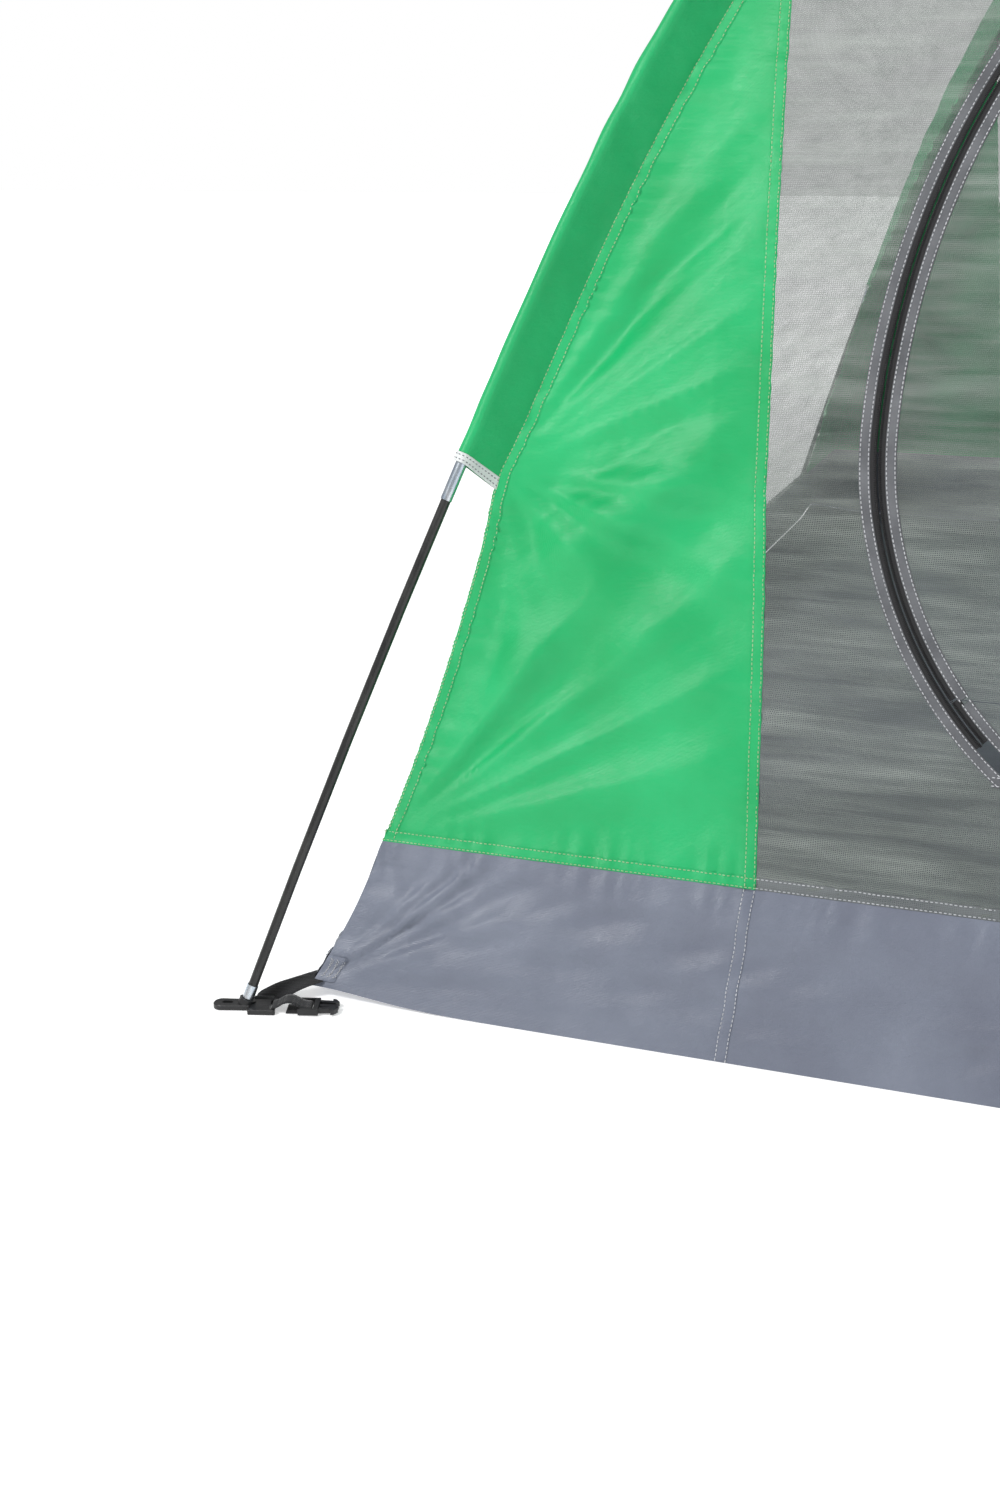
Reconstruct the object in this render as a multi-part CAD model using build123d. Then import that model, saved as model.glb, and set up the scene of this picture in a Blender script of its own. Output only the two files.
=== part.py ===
from build123d import *
import math
import os

os.makedirs("parts", exist_ok=True)

# Inner body of a freestanding dome tent on two crossing fibreglass poles, pitched.
# Millimetres. Origin at the centre of the floor, on the ground. +X runs along the front
# wall, +Y from the front wall to the rear wall, +Z up. The door is in the front wall.

# --- Driving dimensions ------------------------------------------------------------------

floor_width = 3048.0          # along X
floor_depth = 2743.0          # along Y
peak_height = 1829.0          # top of the upper pole at the crossing

# Fabric body
fabric_thickness = 1.0
tub_height = 152.0
tub_lean = 78.0               # how far the tub's corner leans in, along the diagonal
web_depth = 42.0              # pole centre line to the fabric corner below it
mouth_height = 507.0          # the corner is free of the pole below this height
corner_panel_width = 369.0    # solid corner panel, at the top of the tub
corner_seam_lean = 0.067      # how far its seam runs outwards per unit of height
rear_panel_height = 700.0     # top of the solid panel in the rear wall
seam_gap = 0.3                # between panels that are sewn edge to edge
floor_clearance = 1.5         # floor sheet to the tub's inner face

# Poles
pole_diameter = 9.5
pole_bore = pole_diameter - 3.0
pole_foot_reach = 63.0        # foot of the pole outside the floor corner, on the diagonal
pole_foot_height = 9.0
foot_steepness = 2.7986171    # tangent of the slope at the foot, over rise per half span
leg_top_steepness = 2.3480346 # the same where the straight leg turns into the crown
crossing_gap = 0.6
sections_per_pole = 11
section_gap = 0.6
ferrule_diameter = pole_diameter + 1.5
ferrule_length = 54.0
ferrule_clearance = 0.1       # radial, on the rods
end_tip_length = 14.0
end_tip_base = 2.0
end_pin_diameter = 6.0
end_pin_length = 7.5
shock_cord_diameter = 3.2

# Pole sleeves
sleeve_bore = pole_diameter + 3.3
sleeve_skin = 0.8
sleeve_web_thickness = 1.6
sleeve_binding_length = 9.0
sleeve_end_to_crossing = 160.0
sleeve_seat_gap = 0.2         # web to the corner that it is sewn to

# Crossing tie
tie_width = 16.0
tie_thickness = 1.6
tie_clearance = 1.5

# Door, drawn in the plane of the lower front wall
door_centre_x = -327.0
door_widest_height = 565.0
door_upper_radius = 700.0
door_lower_radius = 380.0
door_sill_height = 270.0
zipper_end_height = 300.0
zipper_tail = 50.0            # sewn-shut end of the zipper, below the flap
flap_fold_gap = 1.0
door_open_angle = 115.0       # degrees

# Zipper and its binding
coil_width = 7.0
coil_gap = 1.8                # slit between the two rows, where the slider's wedge runs
coil_outside = 1.3            # coil proud of the outer face
coil_inside = 0.6             # coil proud of the inner face
tape_half_width = 9.0
binding_start = 6.5           # from the zipper's centre line to the binding's edge
binding_width = 10.0
binding_thickness = 0.7
binding_lift = 0.1

# Zipper slider and its two pulls
slider_length = 24.0
slider_width = 11.0
slider_skin = 1.5
slider_clearance = 0.5
slider_wedge_length = 6.0
slider_wedge_clearance = 0.4
slider_lip_gap = 1.2          # side lips to the tape between them
bail_length = 8.0
bail_height = 4.0
bail_thickness = 1.5
pull_length = 30.0
pull_width = 7.0
pull_thickness = 1.2
pull_clearance = 0.3

# Corner plate, in its own frame: x along the plate, y towards the tent, foot at the origin
plate_turn = 17.0             # degrees, of the front left plate from +X
plate_thickness = 5.0
plate_edge = 0.8
plate_tail_reach = 30.5
plate_tail_radius = 8.5
plate_head_start = 5.0
plate_head_end = 32.0
plate_head_front = 17.0
plate_head_back = 13.5
plate_head_fillet = 2.0
stake_slot_centre = 16.5
stake_slot_length = 11.0
stake_slot_width = 5.0
boss_radius = 8.0
boss_gap = 0.5
end_pin_clearance = 0.2
bar_diameter = 3.0
bar_setback = 0.3             # bars inside the plate's outline
slot_opening = 3.0

# Webbing and side-release plug
webbing_width = 19.0
webbing_thickness = 1.2
webbing_clearance = 0.3
strap_sewn_height = 17.0      # where the corner strap is sewn to the tub's corner
buckle_strap_rise = 6.0
buckle_strap_flat = 10.0
buckle_strap_run = 34.0       # from the plate's bar to the plug's bar
buckle_tail_length = 22.0
plug_width = 26.0
plug_rail = 2.8
plug_thickness = 6.4
plug_lift = 0.6
plug_body_length = 5.0
plug_prong_length = 19.0
plug_guide_width = 5.0
plug_arm_width = 3.4
plug_barb = 2.4

# --- Derived sizes -----------------------------------------------------------------------

pole_radius = pole_diameter / 2
diagonal = math.hypot(floor_width, floor_depth)
width_share = floor_width / diagonal
depth_share = floor_depth / diagonal
diagonal_azimuth = math.degrees(math.atan2(floor_depth, floor_width))
half_span = diagonal / 2 + pole_foot_reach
upper_apex = peak_height - pole_radius
lower_apex = upper_apex - pole_diameter - crossing_gap
rise_per_half_span = (lower_apex - pole_foot_height) / half_span
foot_slope = math.degrees(math.atan(foot_steepness * rise_per_half_span))
leg_top_slope = math.degrees(math.atan(leg_top_steepness * rise_per_half_span))


def sin_deg(angle):
    return math.sin(math.radians(angle))


def cos_deg(angle):
    return math.cos(math.radians(angle))


class PoleCurve:
    """Half-span curve of a pole in its own vertical plane: a stiff leg and a rounder crown.

    Two arcs on each side, tangent where they meet. Angles are those of the outward normal
    from the horizontal, so a slope of 60 degrees has a normal at 30 degrees.
    """

    def __init__(self, apex):
        rise = apex - pole_foot_height
        leg_run = sin_deg(foot_slope) - sin_deg(leg_top_slope)
        leg_rise = cos_deg(leg_top_slope) - cos_deg(foot_slope)
        crown_run = sin_deg(leg_top_slope)
        crown_rise = 1 - cos_deg(leg_top_slope)
        scale = leg_run * crown_rise - crown_run * leg_rise
        self.leg_radius = (half_span * crown_rise - crown_run * rise) / scale
        self.crown_radius = (leg_run * rise - leg_rise * half_span) / scale
        self.crown_height = apex - self.crown_radius
        spread = self.crown_radius - self.leg_radius
        self.leg_x = spread * crown_run
        self.leg_height = self.crown_height + spread * cos_deg(leg_top_slope)
        self.leg_length = self.leg_radius * math.radians(foot_slope - leg_top_slope)
        self.crown_length = 2 * self.crown_radius * math.radians(leg_top_slope)
        self.length = 2 * self.leg_length + self.crown_length

    def spans(self):
        """Arcs from the -X foot over the crown: centre x, centre z, radius, start, turn."""
        leg_turn = foot_slope - leg_top_slope
        return [
            (-self.leg_x, self.leg_height, self.leg_radius, 90 + foot_slope, leg_turn),
            (0, self.crown_height, self.crown_radius, 90 + leg_top_slope, 2 * leg_top_slope),
            (self.leg_x, self.leg_height, self.leg_radius, 90 - leg_top_slope, leg_turn),
        ]

    def along(self, section, start, end):
        """Carries a flat section along the curve, from one distance to another."""
        pieces = []
        span_start = 0.0
        for centre_x, centre_z, radius, angle, turn in self.spans():
            span_length = radius * math.radians(turn)
            first = max(start, span_start)
            last = min(end, span_start + span_length)
            if last > first:
                begin = angle - math.degrees((first - span_start) / radius)
                plane = normal_plane(centre_x, centre_z, radius, begin)
                axis = Axis((centre_x, 0, centre_z), (0, 1, 0))
                sweep_angle = math.degrees((last - first) / radius)
                pieces.append(revolve(plane * section, axis, sweep_angle))
            span_start += span_length
        whole = pieces[0]
        for piece in pieces[1:]:
            whole = whole + piece
        return whole

    def height_distance(self, height):
        """Distance along the leg from the foot up to a height."""
        normal = math.degrees(math.asin((height - self.leg_height) / self.leg_radius))
        return self.leg_radius * math.radians(normal - (90 - foot_slope))


def normal_plane(centre_x, centre_z, radius, angle):
    """Plane across an arc at an angle: x points out of the curve, z along the travel."""
    out = (cos_deg(angle), 0, sin_deg(angle))
    ahead = (sin_deg(angle), 0, -cos_deg(angle))
    origin = (centre_x + radius * out[0], 0, centre_z + radius * out[2])
    return Plane(origin=origin, x_dir=out, z_dir=ahead)


def tube(outer_diameter, inner_diameter):
    return Circle(outer_diameter / 2) - Circle(inner_diameter / 2)


lower_curve = PoleCurve(lower_apex)
upper_curve = PoleCurve(upper_apex)
pole_azimuths = {"a": diagonal_azimuth, "b": -diagonal_azimuth}
pole_curves = {"a": lower_curve, "b": upper_curve}

nodes = {}


# --- Poles -------------------------------------------------------------------------------

def section_joints(curve):
    """Distances of the joints between the rods, the two rod ends included."""
    usable = curve.length - 2 * end_tip_base
    step = usable / sections_per_pole
    return [end_tip_base + step * i for i in range(sections_per_pole + 1)]


def rods(curve):
    joints = section_joints(curve)
    section = tube(pole_diameter, pole_bore)
    half = section_gap / 2
    return [
        curve.along(section, low + half, high - half) for low, high in zip(joints, joints[1:])
    ]


def ferrules(curve):
    section = tube(ferrule_diameter, pole_diameter + 2 * ferrule_clearance)
    half = ferrule_length / 2
    return [curve.along(section, at - half, at + half) for at in section_joints(curve)[1:-1]]


def end_tip(curve):
    """Steel cup over the rod's end, with the pin that stands in the corner plate."""
    cup = curve.along(tube(ferrule_diameter, pole_diameter + 2 * ferrule_clearance),
                      end_tip_base, end_tip_length)
    base = curve.along(Circle(ferrule_diameter / 2), 0, end_tip_base)
    return cup + base + foot_cylinder(end_pin_diameter / 2, -end_pin_length, 0)


def foot_cylinder(radius, start, end):
    """Straight cylinder on the pole's line through the -X foot, from below to above it."""
    foot = Plane(origin=(-half_span, 0, pole_foot_height),
                 x_dir=(-sin_deg(foot_slope), 0, cos_deg(foot_slope)),
                 z_dir=(cos_deg(foot_slope), 0, sin_deg(foot_slope)))
    return extrude(foot.offset(start) * Circle(radius), end - start)


def build_poles():
    for letter, curve in pole_curves.items():
        turn = Rot(0, 0, pole_azimuths[letter])
        tip = end_tip(curve)
        cord = curve.along(Circle(shock_cord_diameter / 2),
                           end_tip_base + section_gap,
                           curve.length - end_tip_base - section_gap)
        nodes[f"pole_{letter}_sections"] = [turn * rod for rod in rods(curve)]
        nodes[f"pole_{letter}_ferrules"] = [turn * ferrule for ferrule in ferrules(curve)]
        nodes[f"pole_{letter}_end_tips"] = [turn * tip, turn * mirror(tip, Plane.YZ)]
        nodes[f"pole_{letter}_shock_cord"] = [turn * cord]


# --- Fabric walls ------------------------------------------------------------------------
# Each wall is a cylinder surface: one profile in the diagonal plane, narrowed by the
# share of the width or the depth, and cut off where it meets its neighbours.

def wall_curve(share, depth):
    """Profile edges from the tub's top to the crown, a depth below the lower pole."""
    leg_radius = lower_curve.leg_radius - depth
    crown_radius = lower_curve.crown_radius - depth
    start = math.degrees(math.asin((mouth_height - lower_curve.leg_height) / leg_radius))
    mouth_x = lower_curve.leg_x + leg_radius * cos_deg(start)
    inward = (depth - web_depth) / sin_deg(foot_slope)
    tub_x = diagonal / 2 - tub_lean - inward
    low = (tub_x * share, tub_height)
    mouth = (mouth_x * share, mouth_height)
    turn = 90 - leg_top_slope
    leg = EllipticalCenterArc((lower_curve.leg_x * share, lower_curve.leg_height),
                              leg_radius * share, leg_radius, start, arc_size=turn - start)
    crown = EllipticalCenterArc((0, lower_curve.crown_height),
                                crown_radius * share, crown_radius, turn, arc_size=90 - turn)
    top = (0, lower_curve.crown_height + crown_radius)
    return [Line(low, mouth), leg, crown], low, mouth, top


def wall_shell(share, outer_depth, inner_depth):
    """Flat profile of a wall's skin between two depths."""
    outer, outer_low, _, outer_top = wall_curve(share, outer_depth)
    inner, inner_low, _, inner_top = wall_curve(share, inner_depth)
    closing = [Line(outer_low, inner_low), Line(outer_top, inner_top)]
    return make_face(outer + inner + closing)


sides = {
    "front": ((0, -1, 0), depth_share, floor_width),
    "rear": ((0, 1, 0), depth_share, floor_width),
    "left": ((-1, 0, 0), width_share, floor_depth),
    "right": ((1, 0, 0), width_share, floor_depth),
}


def side_plane(side):
    """Vertical plane across a wall: x out of the tent, y up."""
    out = Vector(*sides[side][0])
    return Plane(origin=(0, 0, 0), x_dir=out, z_dir=out.cross(Vector(0, 0, 1)))


def along_side(side, profile):
    """Runs a profile along a wall and cuts it off on the two diagonal planes."""
    out, _, run = sides[side]
    band = extrude(side_plane(side) * profile, run, both=True)
    near = (0, 0)
    reach = 1.3
    along = (abs(out[1]), abs(out[0]))
    corner_x = reach * floor_width / 2
    corner_y = reach * floor_depth / 2
    if along[0]:
        corners = [near, (-corner_x, out[1] * corner_y), (corner_x, out[1] * corner_y)]
    else:
        corners = [near, (out[0] * corner_x, -corner_y), (out[0] * corner_x, corner_y)]
    wedge = extrude(make_face(Polyline(*corners, close=True)), peak_height)
    return band & wedge


def facing_plane(side):
    """Vertical plane through the origin that faces a wall: x to its right, y up."""
    out = Vector(*sides[side][0])
    return Plane(origin=(0, 0, 0), x_dir=Vector(0, 0, 1).cross(out), z_dir=out)


def wall_cutter(side, points):
    """Prism square to a wall over an outline drawn as seen from outside."""
    outline = facing_plane(side) * make_face(Polyline(*points, close=True))
    return extrude(outline, floor_width)


def seam_line(side):
    """Half-width of the middle of a wall at its tub and at the peak's height."""
    along_share = width_share if side in ("front", "rear") else depth_share
    tub_half = (diagonal / 2 - tub_lean) * along_share
    low = tub_half - corner_panel_width
    return low, low + corner_seam_lean * (peak_height - tub_height)


def corner_panels(side, shell):
    """Two solid corner panels, left and right as seen from outside, and the middle."""
    low, high = seam_line(side)
    far = floor_width
    gap = seam_gap / 2
    right = [(low + gap, tub_height), (far, tub_height), (far, peak_height),
             (high + gap, peak_height)]
    left = [(-x, z) for x, z in right]
    middle = [(-low + gap, tub_height), (low - gap, tub_height),
              (high - gap, peak_height), (-high + gap, peak_height)]
    return (shell & wall_cutter(side, left), shell & wall_cutter(side, right),
            shell & wall_cutter(side, middle))


wall_outer = web_depth
wall_inner = web_depth + fabric_thickness


def full_wall(side, outer_depth=wall_outer, inner_depth=wall_inner):
    share = sides[side][1]
    return along_side(side, wall_shell(share, outer_depth, inner_depth))


def build_side_walls():
    # Seen from outside, the left wall has the rear on its left and the front on its right.
    names = {"left": ("rear", "front"), "right": ("front", "rear")}
    for side, (on_left, on_right) in names.items():
        left, right, middle = corner_panels(side, full_wall(side))
        nodes[f"{side}_wall_{on_left}_panel"] = [left]
        nodes[f"{side}_wall_{on_right}_panel"] = [right]
        nodes[f"{side}_wall_mesh"] = [middle]


def build_rear_wall():
    left, right, middle = corner_panels("rear", full_wall("rear"))
    far = floor_width
    gap = seam_gap / 2
    low = [(-far, 0), (far, 0), (far, rear_panel_height - gap), (-far, rear_panel_height - gap)]
    high = [(-far, rear_panel_height + gap), (far, rear_panel_height + gap),
            (far, peak_height), (-far, peak_height)]
    nodes["rear_wall_right_panel"] = [left]
    nodes["rear_wall_left_panel"] = [right]
    nodes["rear_wall_lower_panel"] = [middle & wall_cutter("rear", low)]
    nodes["rear_wall_mesh"] = [middle & wall_cutter("rear", high)]


def build_tub():
    """Waterproof floor with low walls all round, leaning in to the fabric above."""
    for side, (_, share, _) in sides.items():
        lean = fabric_thickness / sin_deg(foot_slope)
        foot = diagonal / 2
        top = foot - tub_lean
        gap_height = tub_height - seam_gap
        outline = Polyline((foot * share, 0), (top * share, gap_height),
                           ((top - lean) * share, gap_height), ((foot - lean) * share, 0),
                           close=True)
        nodes[f"tub_{side}_wall"] = [along_side(side, make_face(outline))]
    inset = fabric_thickness / sin_deg(foot_slope) + floor_clearance
    sheet = Rectangle(floor_width - 2 * inset, floor_depth - 2 * inset)
    nodes["floor_sheet"] = [extrude(sheet, fabric_thickness)]


# --- Door --------------------------------------------------------------------------------
# The door is drawn flat in the plane of the lower front wall: x along the wall, y up it,
# with its origin at the door's centre at its widest height.

_, door_tub_point, door_mouth_point, _ = wall_curve(depth_share, wall_outer)
wall_run = door_tub_point[0] - door_mouth_point[0]
wall_rise = door_mouth_point[1] - door_tub_point[1]
wall_slope = math.degrees(math.atan2(wall_rise, wall_run))
door_side_shift = door_upper_radius - door_lower_radius


def flat_height(height):
    """Distance up the door plane of a height above the ground."""
    return (height - door_widest_height) / sin_deg(wall_slope)


def door_plane():
    above_mouth = (door_widest_height - mouth_height) / math.tan(math.radians(wall_slope))
    origin = (door_centre_x, -door_mouth_point[0] + above_mouth, door_widest_height)
    return Plane(origin=origin, x_dir=(1, 0, 0),
                 z_dir=(0, -sin_deg(wall_slope), cos_deg(wall_slope)))


door_frame = door_plane()
zipper_end_angle = math.degrees(math.asin(-flat_height(zipper_end_height) / door_lower_radius))
fold_angle = zipper_end_angle - math.degrees(zipper_tail / door_lower_radius)
sill = flat_height(door_sill_height)
zipper_end = flat_height(zipper_end_height)
fold = -door_lower_radius * sin_deg(fold_angle)


def door_outline(inset, bottom):
    """Arch with rounded lower corners, moved in by an inset and cut off at the bottom."""
    upper = door_upper_radius - inset
    lower = door_lower_radius - inset
    reach = math.degrees(math.asin(-bottom / lower))
    foot_x = door_side_shift + lower * cos_deg(reach)
    return make_face([
        CenterArc((0, 0), upper, 0, 180),
        CenterArc((-door_side_shift, 0), lower, 180, reach),
        Line((-foot_x, bottom), (foot_x, bottom)),
        CenterArc((door_side_shift, 0), lower, 360 - reach, reach),
    ])


def door_prism(outline):
    """Outline run square through the front wall."""
    reach = floor_depth / 2
    return extrude(door_frame * outline, reach, both=True)


def above_fold():
    far = floor_width
    base = fold + flap_fold_gap / 2
    return door_prism(make_face(Polyline((-far, base), (far, base), (far, far), (-far, far),
                                         close=True)))


def below_fold():
    far = floor_width
    base = fold - flap_fold_gap / 2
    return door_prism(make_face(Polyline((-far, base), (far, base), (far, -far), (-far, -far),
                                         close=True)))


def ring(outer_inset, outer_bottom, inner_inset, inner_bottom):
    return door_prism(door_outline(outer_inset, outer_bottom)
                      - door_outline(inner_inset, inner_bottom))


def build_front_wall():
    skin = full_wall("front")
    left, right, middle = corner_panels("front", skin)
    binding_skin = full_wall("front", web_depth - binding_lift - binding_thickness,
                             web_depth - binding_lift)
    coil_skin = full_wall("front", web_depth - coil_outside, wall_inner + coil_inside)
    flap_side = above_fold()
    apron_side = below_fold()
    slit = coil_gap / 2
    coil_edge = coil_width / 2
    binding_end = binding_start + binding_width
    under = tape_half_width + seam_gap

    nodes["front_wall_left_panel"] = [left]
    nodes["front_wall_right_panel"] = [right]
    nodes["front_wall_mesh"] = [middle - door_prism(door_outline(-under, sill))]

    door_mesh = middle & door_prism(door_outline(under, sill + seam_gap))
    nodes["door_flap_mesh"] = [door_mesh & flap_side]
    nodes["door_sill_mesh"] = [door_mesh & apron_side]

    outer_tape = middle & ring(-tape_half_width, zipper_end, -coil_edge, zipper_end)
    inner_tape = middle & ring(coil_edge, zipper_end, tape_half_width, zipper_end)
    outer_coil = coil_skin & ring(-coil_edge + slit, zipper_end, -slit, zipper_end)
    inner_coil = coil_skin & ring(slit, zipper_end, coil_edge - slit, zipper_end)
    nodes["zipper_tape_frame_side"] = [outer_tape, inner_tape & apron_side]
    nodes["zipper_tape_flap_side"] = [inner_tape & flap_side]
    nodes["zipper_coil_frame_side"] = [outer_coil, inner_coil & apron_side]
    nodes["zipper_coil_flap_side"] = [inner_coil & flap_side]

    half_binding = binding_width / 2
    frame_binding = binding_skin & ring(-binding_end, sill - half_binding,
                                        -binding_start, sill + half_binding)
    flap_binding = binding_skin & ring(binding_start, sill + half_binding,
                                       binding_end, sill + half_binding)
    nodes["door_binding_frame_side"] = [frame_binding, flap_binding & apron_side]
    nodes["door_binding_flap_side"] = [flap_binding & flap_side]


# --- Sleeves and crossing tie --------------------------------------------------------------

def sleeve_section():
    """Tube round the pole with a flat web that reaches past the fabric corner."""
    outer = sleeve_bore / 2 + sleeve_skin
    web_end = web_depth + pole_diameter + crossing_gap + fabric_thickness
    web_start = sleeve_bore / 2 + sleeve_skin / 2
    web = Pos(-(web_start + web_end) / 2, 0) * Rectangle(web_end - web_start,
                                                        sleeve_web_thickness)
    return Circle(outer) + web - Circle(sleeve_bore / 2)


def vault():
    """Everything under the outer face of the four walls, with the sleeve's seat gap."""
    depth = wall_outer - sleeve_seat_gap
    filled = {}
    for side in ("front", "left"):
        share = sides[side][1]
        edges, low, mouth, top = wall_curve(share, depth)
        closing = [Line(top, (0, 0)), Line((0, 0), (low[0], 0)), Line((low[0], 0), low)]
        half = extrude(side_plane(side) * make_face(edges + closing), sides[side][2], both=True)
        across = Plane.XZ if side == "front" else Plane.YZ
        filled[side] = half + mirror(half, across)
    return filled["front"] & filled["left"]


def build_sleeves():
    body = vault()
    bindings = []
    corners = {"a": ("front_left", "rear_right"), "b": ("rear_left", "front_right")}
    for letter, curve in pole_curves.items():
        turn = Rot(0, 0, pole_azimuths[letter])
        mouth = curve.height_distance(mouth_height + sleeve_binding_length)
        end = curve.length / 2 - sleeve_end_to_crossing
        cloth_start = mouth + sleeve_binding_length
        cloth_end = end - sleeve_binding_length
        cloth = curve.along(sleeve_section(), cloth_start, cloth_end)
        mouth_band = curve.along(sleeve_section(), mouth, cloth_start)
        end_band = curve.along(sleeve_section(), cloth_end, end)
        for corner, flip in zip(corners[letter], (False, True)):
            placed = [turn * (mirror(piece, Plane.YZ) if flip else piece) - body
                      for piece in (cloth, mouth_band, end_band)]
            nodes[f"{corner}_sleeve"] = [placed[0]]
            bindings.extend(placed[1:])
    nodes["sleeve_bindings"] = bindings


def build_crossing_tie():
    """Webbing loop sewn to the crown, round both poles where they cross."""
    crown = lower_apex - web_depth + seam_gap
    inside_low = crown + tie_thickness
    inside_high = upper_apex + pole_radius + tie_clearance
    across = (tie_width / 2) / math.tan(math.radians(diagonal_azimuth))
    across += pole_radius / sin_deg(diagonal_azimuth) + tie_clearance
    middle = (inside_low + inside_high) / 2
    inside_height = inside_high - inside_low
    inside = RectangleRounded(2 * across, inside_height, tie_width / 4)
    outside = RectangleRounded(2 * (across + tie_thickness),
                               inside_height + 2 * tie_thickness,
                               tie_width / 4 + tie_thickness)
    loop = Plane(origin=(0, 0, middle), x_dir=(1, 0, 0), z_dir=(0, -1, 0)) * (outside - inside)
    nodes["crossing_tie"] = [extrude(loop, tie_width / 2, both=True)]


# --- Zipper slider and pulls ---------------------------------------------------------------
# In the slider's frame x runs up the zipper, y across it and z out of the wall, with the
# origin on the outer face of the front wall.

slider_angle = (zipper_end_angle + fold_angle) / 2


def slider_frame():
    point = (door_side_shift + door_lower_radius * cos_deg(slider_angle),
             -door_lower_radius * sin_deg(slider_angle))
    ahead = door_frame.x_dir * sin_deg(slider_angle) \
        + door_frame.y_dir * cos_deg(slider_angle)
    origin = door_frame.from_local_coords(Vector(point[0], point[1], 0))
    return Plane(origin=origin, x_dir=ahead, z_dir=door_frame.z_dir)


coil_top = coil_outside
coil_bottom = -fabric_thickness - coil_inside
shell_top = coil_top + slider_clearance + slider_skin
shell_bottom = coil_bottom - slider_clearance - slider_skin


def block(x_range, y_range, z_range):
    """Box between two corners given as ranges."""
    middle = [(low + high) / 2 for low, high in (x_range, y_range, z_range)]
    lengths = [high - low for low, high in (x_range, y_range, z_range)]
    return Pos(*middle) * Box(*lengths)


def slider_body():
    """Two plates over and under the coil, side lips and the wedge that parts the teeth."""
    half = slider_length / 2
    side = slider_width / 2
    plate = extrude(SlotOverall(slider_length, slider_width), slider_skin)
    top = Pos(0, 0, shell_top - slider_skin) * plate
    bottom = Pos(0, 0, shell_bottom) * plate
    lip_inside = coil_width / 2 + slider_clearance
    lips = []
    for sign in (1, -1):
        y_range = tuple(sorted((sign * lip_inside, sign * side)))
        reach = (-half / 2, half / 2)
        lips.append(block(reach, y_range, (slider_lip_gap, shell_top - slider_skin / 2)))
        lips.append(block(reach, y_range, (shell_bottom + slider_skin / 2,
                                           -fabric_thickness - slider_lip_gap)))
    body = top + bottom
    for lip in lips:
        body = body + lip
    wedge_half = coil_gap / 2 - slider_wedge_clearance
    wedge_end = half - slider_skin
    body = body + block((wedge_end - slider_wedge_length, wedge_end), (-wedge_half, wedge_half),
                        (shell_bottom + slider_skin / 2, shell_top - slider_skin / 2))
    return body + bail(shell_top, 1) + bail(shell_bottom, -1)


def bail(face, sign):
    """Bridge on the slider that a pull hooks through."""
    half = bail_length / 2
    post_top = face + sign * (bail_height - bail_thickness / 2)
    outside = face + sign * bail_height
    y_range = (-bail_thickness, bail_thickness)
    feet = [block(x, y_range, tuple(sorted((face - sign * slider_skin / 2, post_top))))
            for x in ((-half, -half + bail_thickness), (half - bail_thickness, half))]
    beam = block((-half, half), y_range, tuple(sorted((outside - sign * bail_thickness, outside))))
    return feet[0] + feet[1] + beam


def pull_piece(face, sign):
    """Wire eye through the bail, and the flat tab that hangs from it."""
    wire = pull_thickness
    eye_z = face + sign * (bail_height - bail_thickness) / 2
    inner_half = bail_thickness + pull_clearance
    outer_half = inner_half + wire
    z_range = (eye_z - wire / 2, eye_z + wire / 2)
    reach = math.hypot(bail_length / 2, bail_height) + pull_clearance
    cross = block((-wire / 2, wire / 2), (-outer_half, outer_half), z_range)
    arms = [block((-reach - wire, wire / 2), tuple(sorted((side * inner_half, side * outer_half))),
                  z_range) for side in (1, -1)]
    shank = block((-reach - wire, -reach), (-outer_half, outer_half), z_range)
    tab_outline = Pos(-reach - wire / 2 - pull_length / 2, 0) * RectangleRounded(
        pull_length, pull_width, pull_width / 3)
    eyelet = Pos(-reach - pull_length + pull_width / 2, 0) * Circle(pull_width / 5)
    tab = Pos(0, 0, eye_z - wire / 2) * extrude(tab_outline - eyelet, wire)
    return cross + arms[0] + arms[1] + shank + tab


def build_slider():
    frame_plane = slider_frame()
    nodes["zipper_slider"] = [frame_plane.location * slider_body()]
    nodes["zipper_pull_outside"] = [frame_plane.location * pull_piece(shell_top, 1)]
    nodes["zipper_pull_inside"] = [frame_plane.location * pull_piece(shell_bottom, -1)]


# --- Corner plates, straps and plugs --------------------------------------------------------
# Drawn for the front left corner in the plate's frame, then mirrored to the others.

bar_height = webbing_thickness + webbing_clearance + bar_diameter / 2 + webbing_clearance
strap_loop_reach = bar_diameter / 2 + webbing_clearance + webbing_thickness
strap_bar_y = plate_head_back - bar_setback - bar_diameter / 2
buckle_bar_x = plate_head_end - bar_setback - bar_diameter / 2
strap_centre_x = (plate_head_start + slot_opening + buckle_bar_x - bar_diameter) / 2
buckle_centre_y = -plate_head_front + bar_diameter + webbing_clearance + webbing_width / 2
foot_x = -half_span * width_share
foot_y = -half_span * depth_share
foot_shift = pole_foot_height / math.tan(math.radians(foot_slope))
plate_origin = (foot_x - foot_shift * width_share, foot_y - foot_shift * depth_share, 0)
plate_frame = Plane(origin=plate_origin, x_dir=(cos_deg(plate_turn), sin_deg(plate_turn), 0),
                    z_dir=(0, 0, 1))


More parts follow.
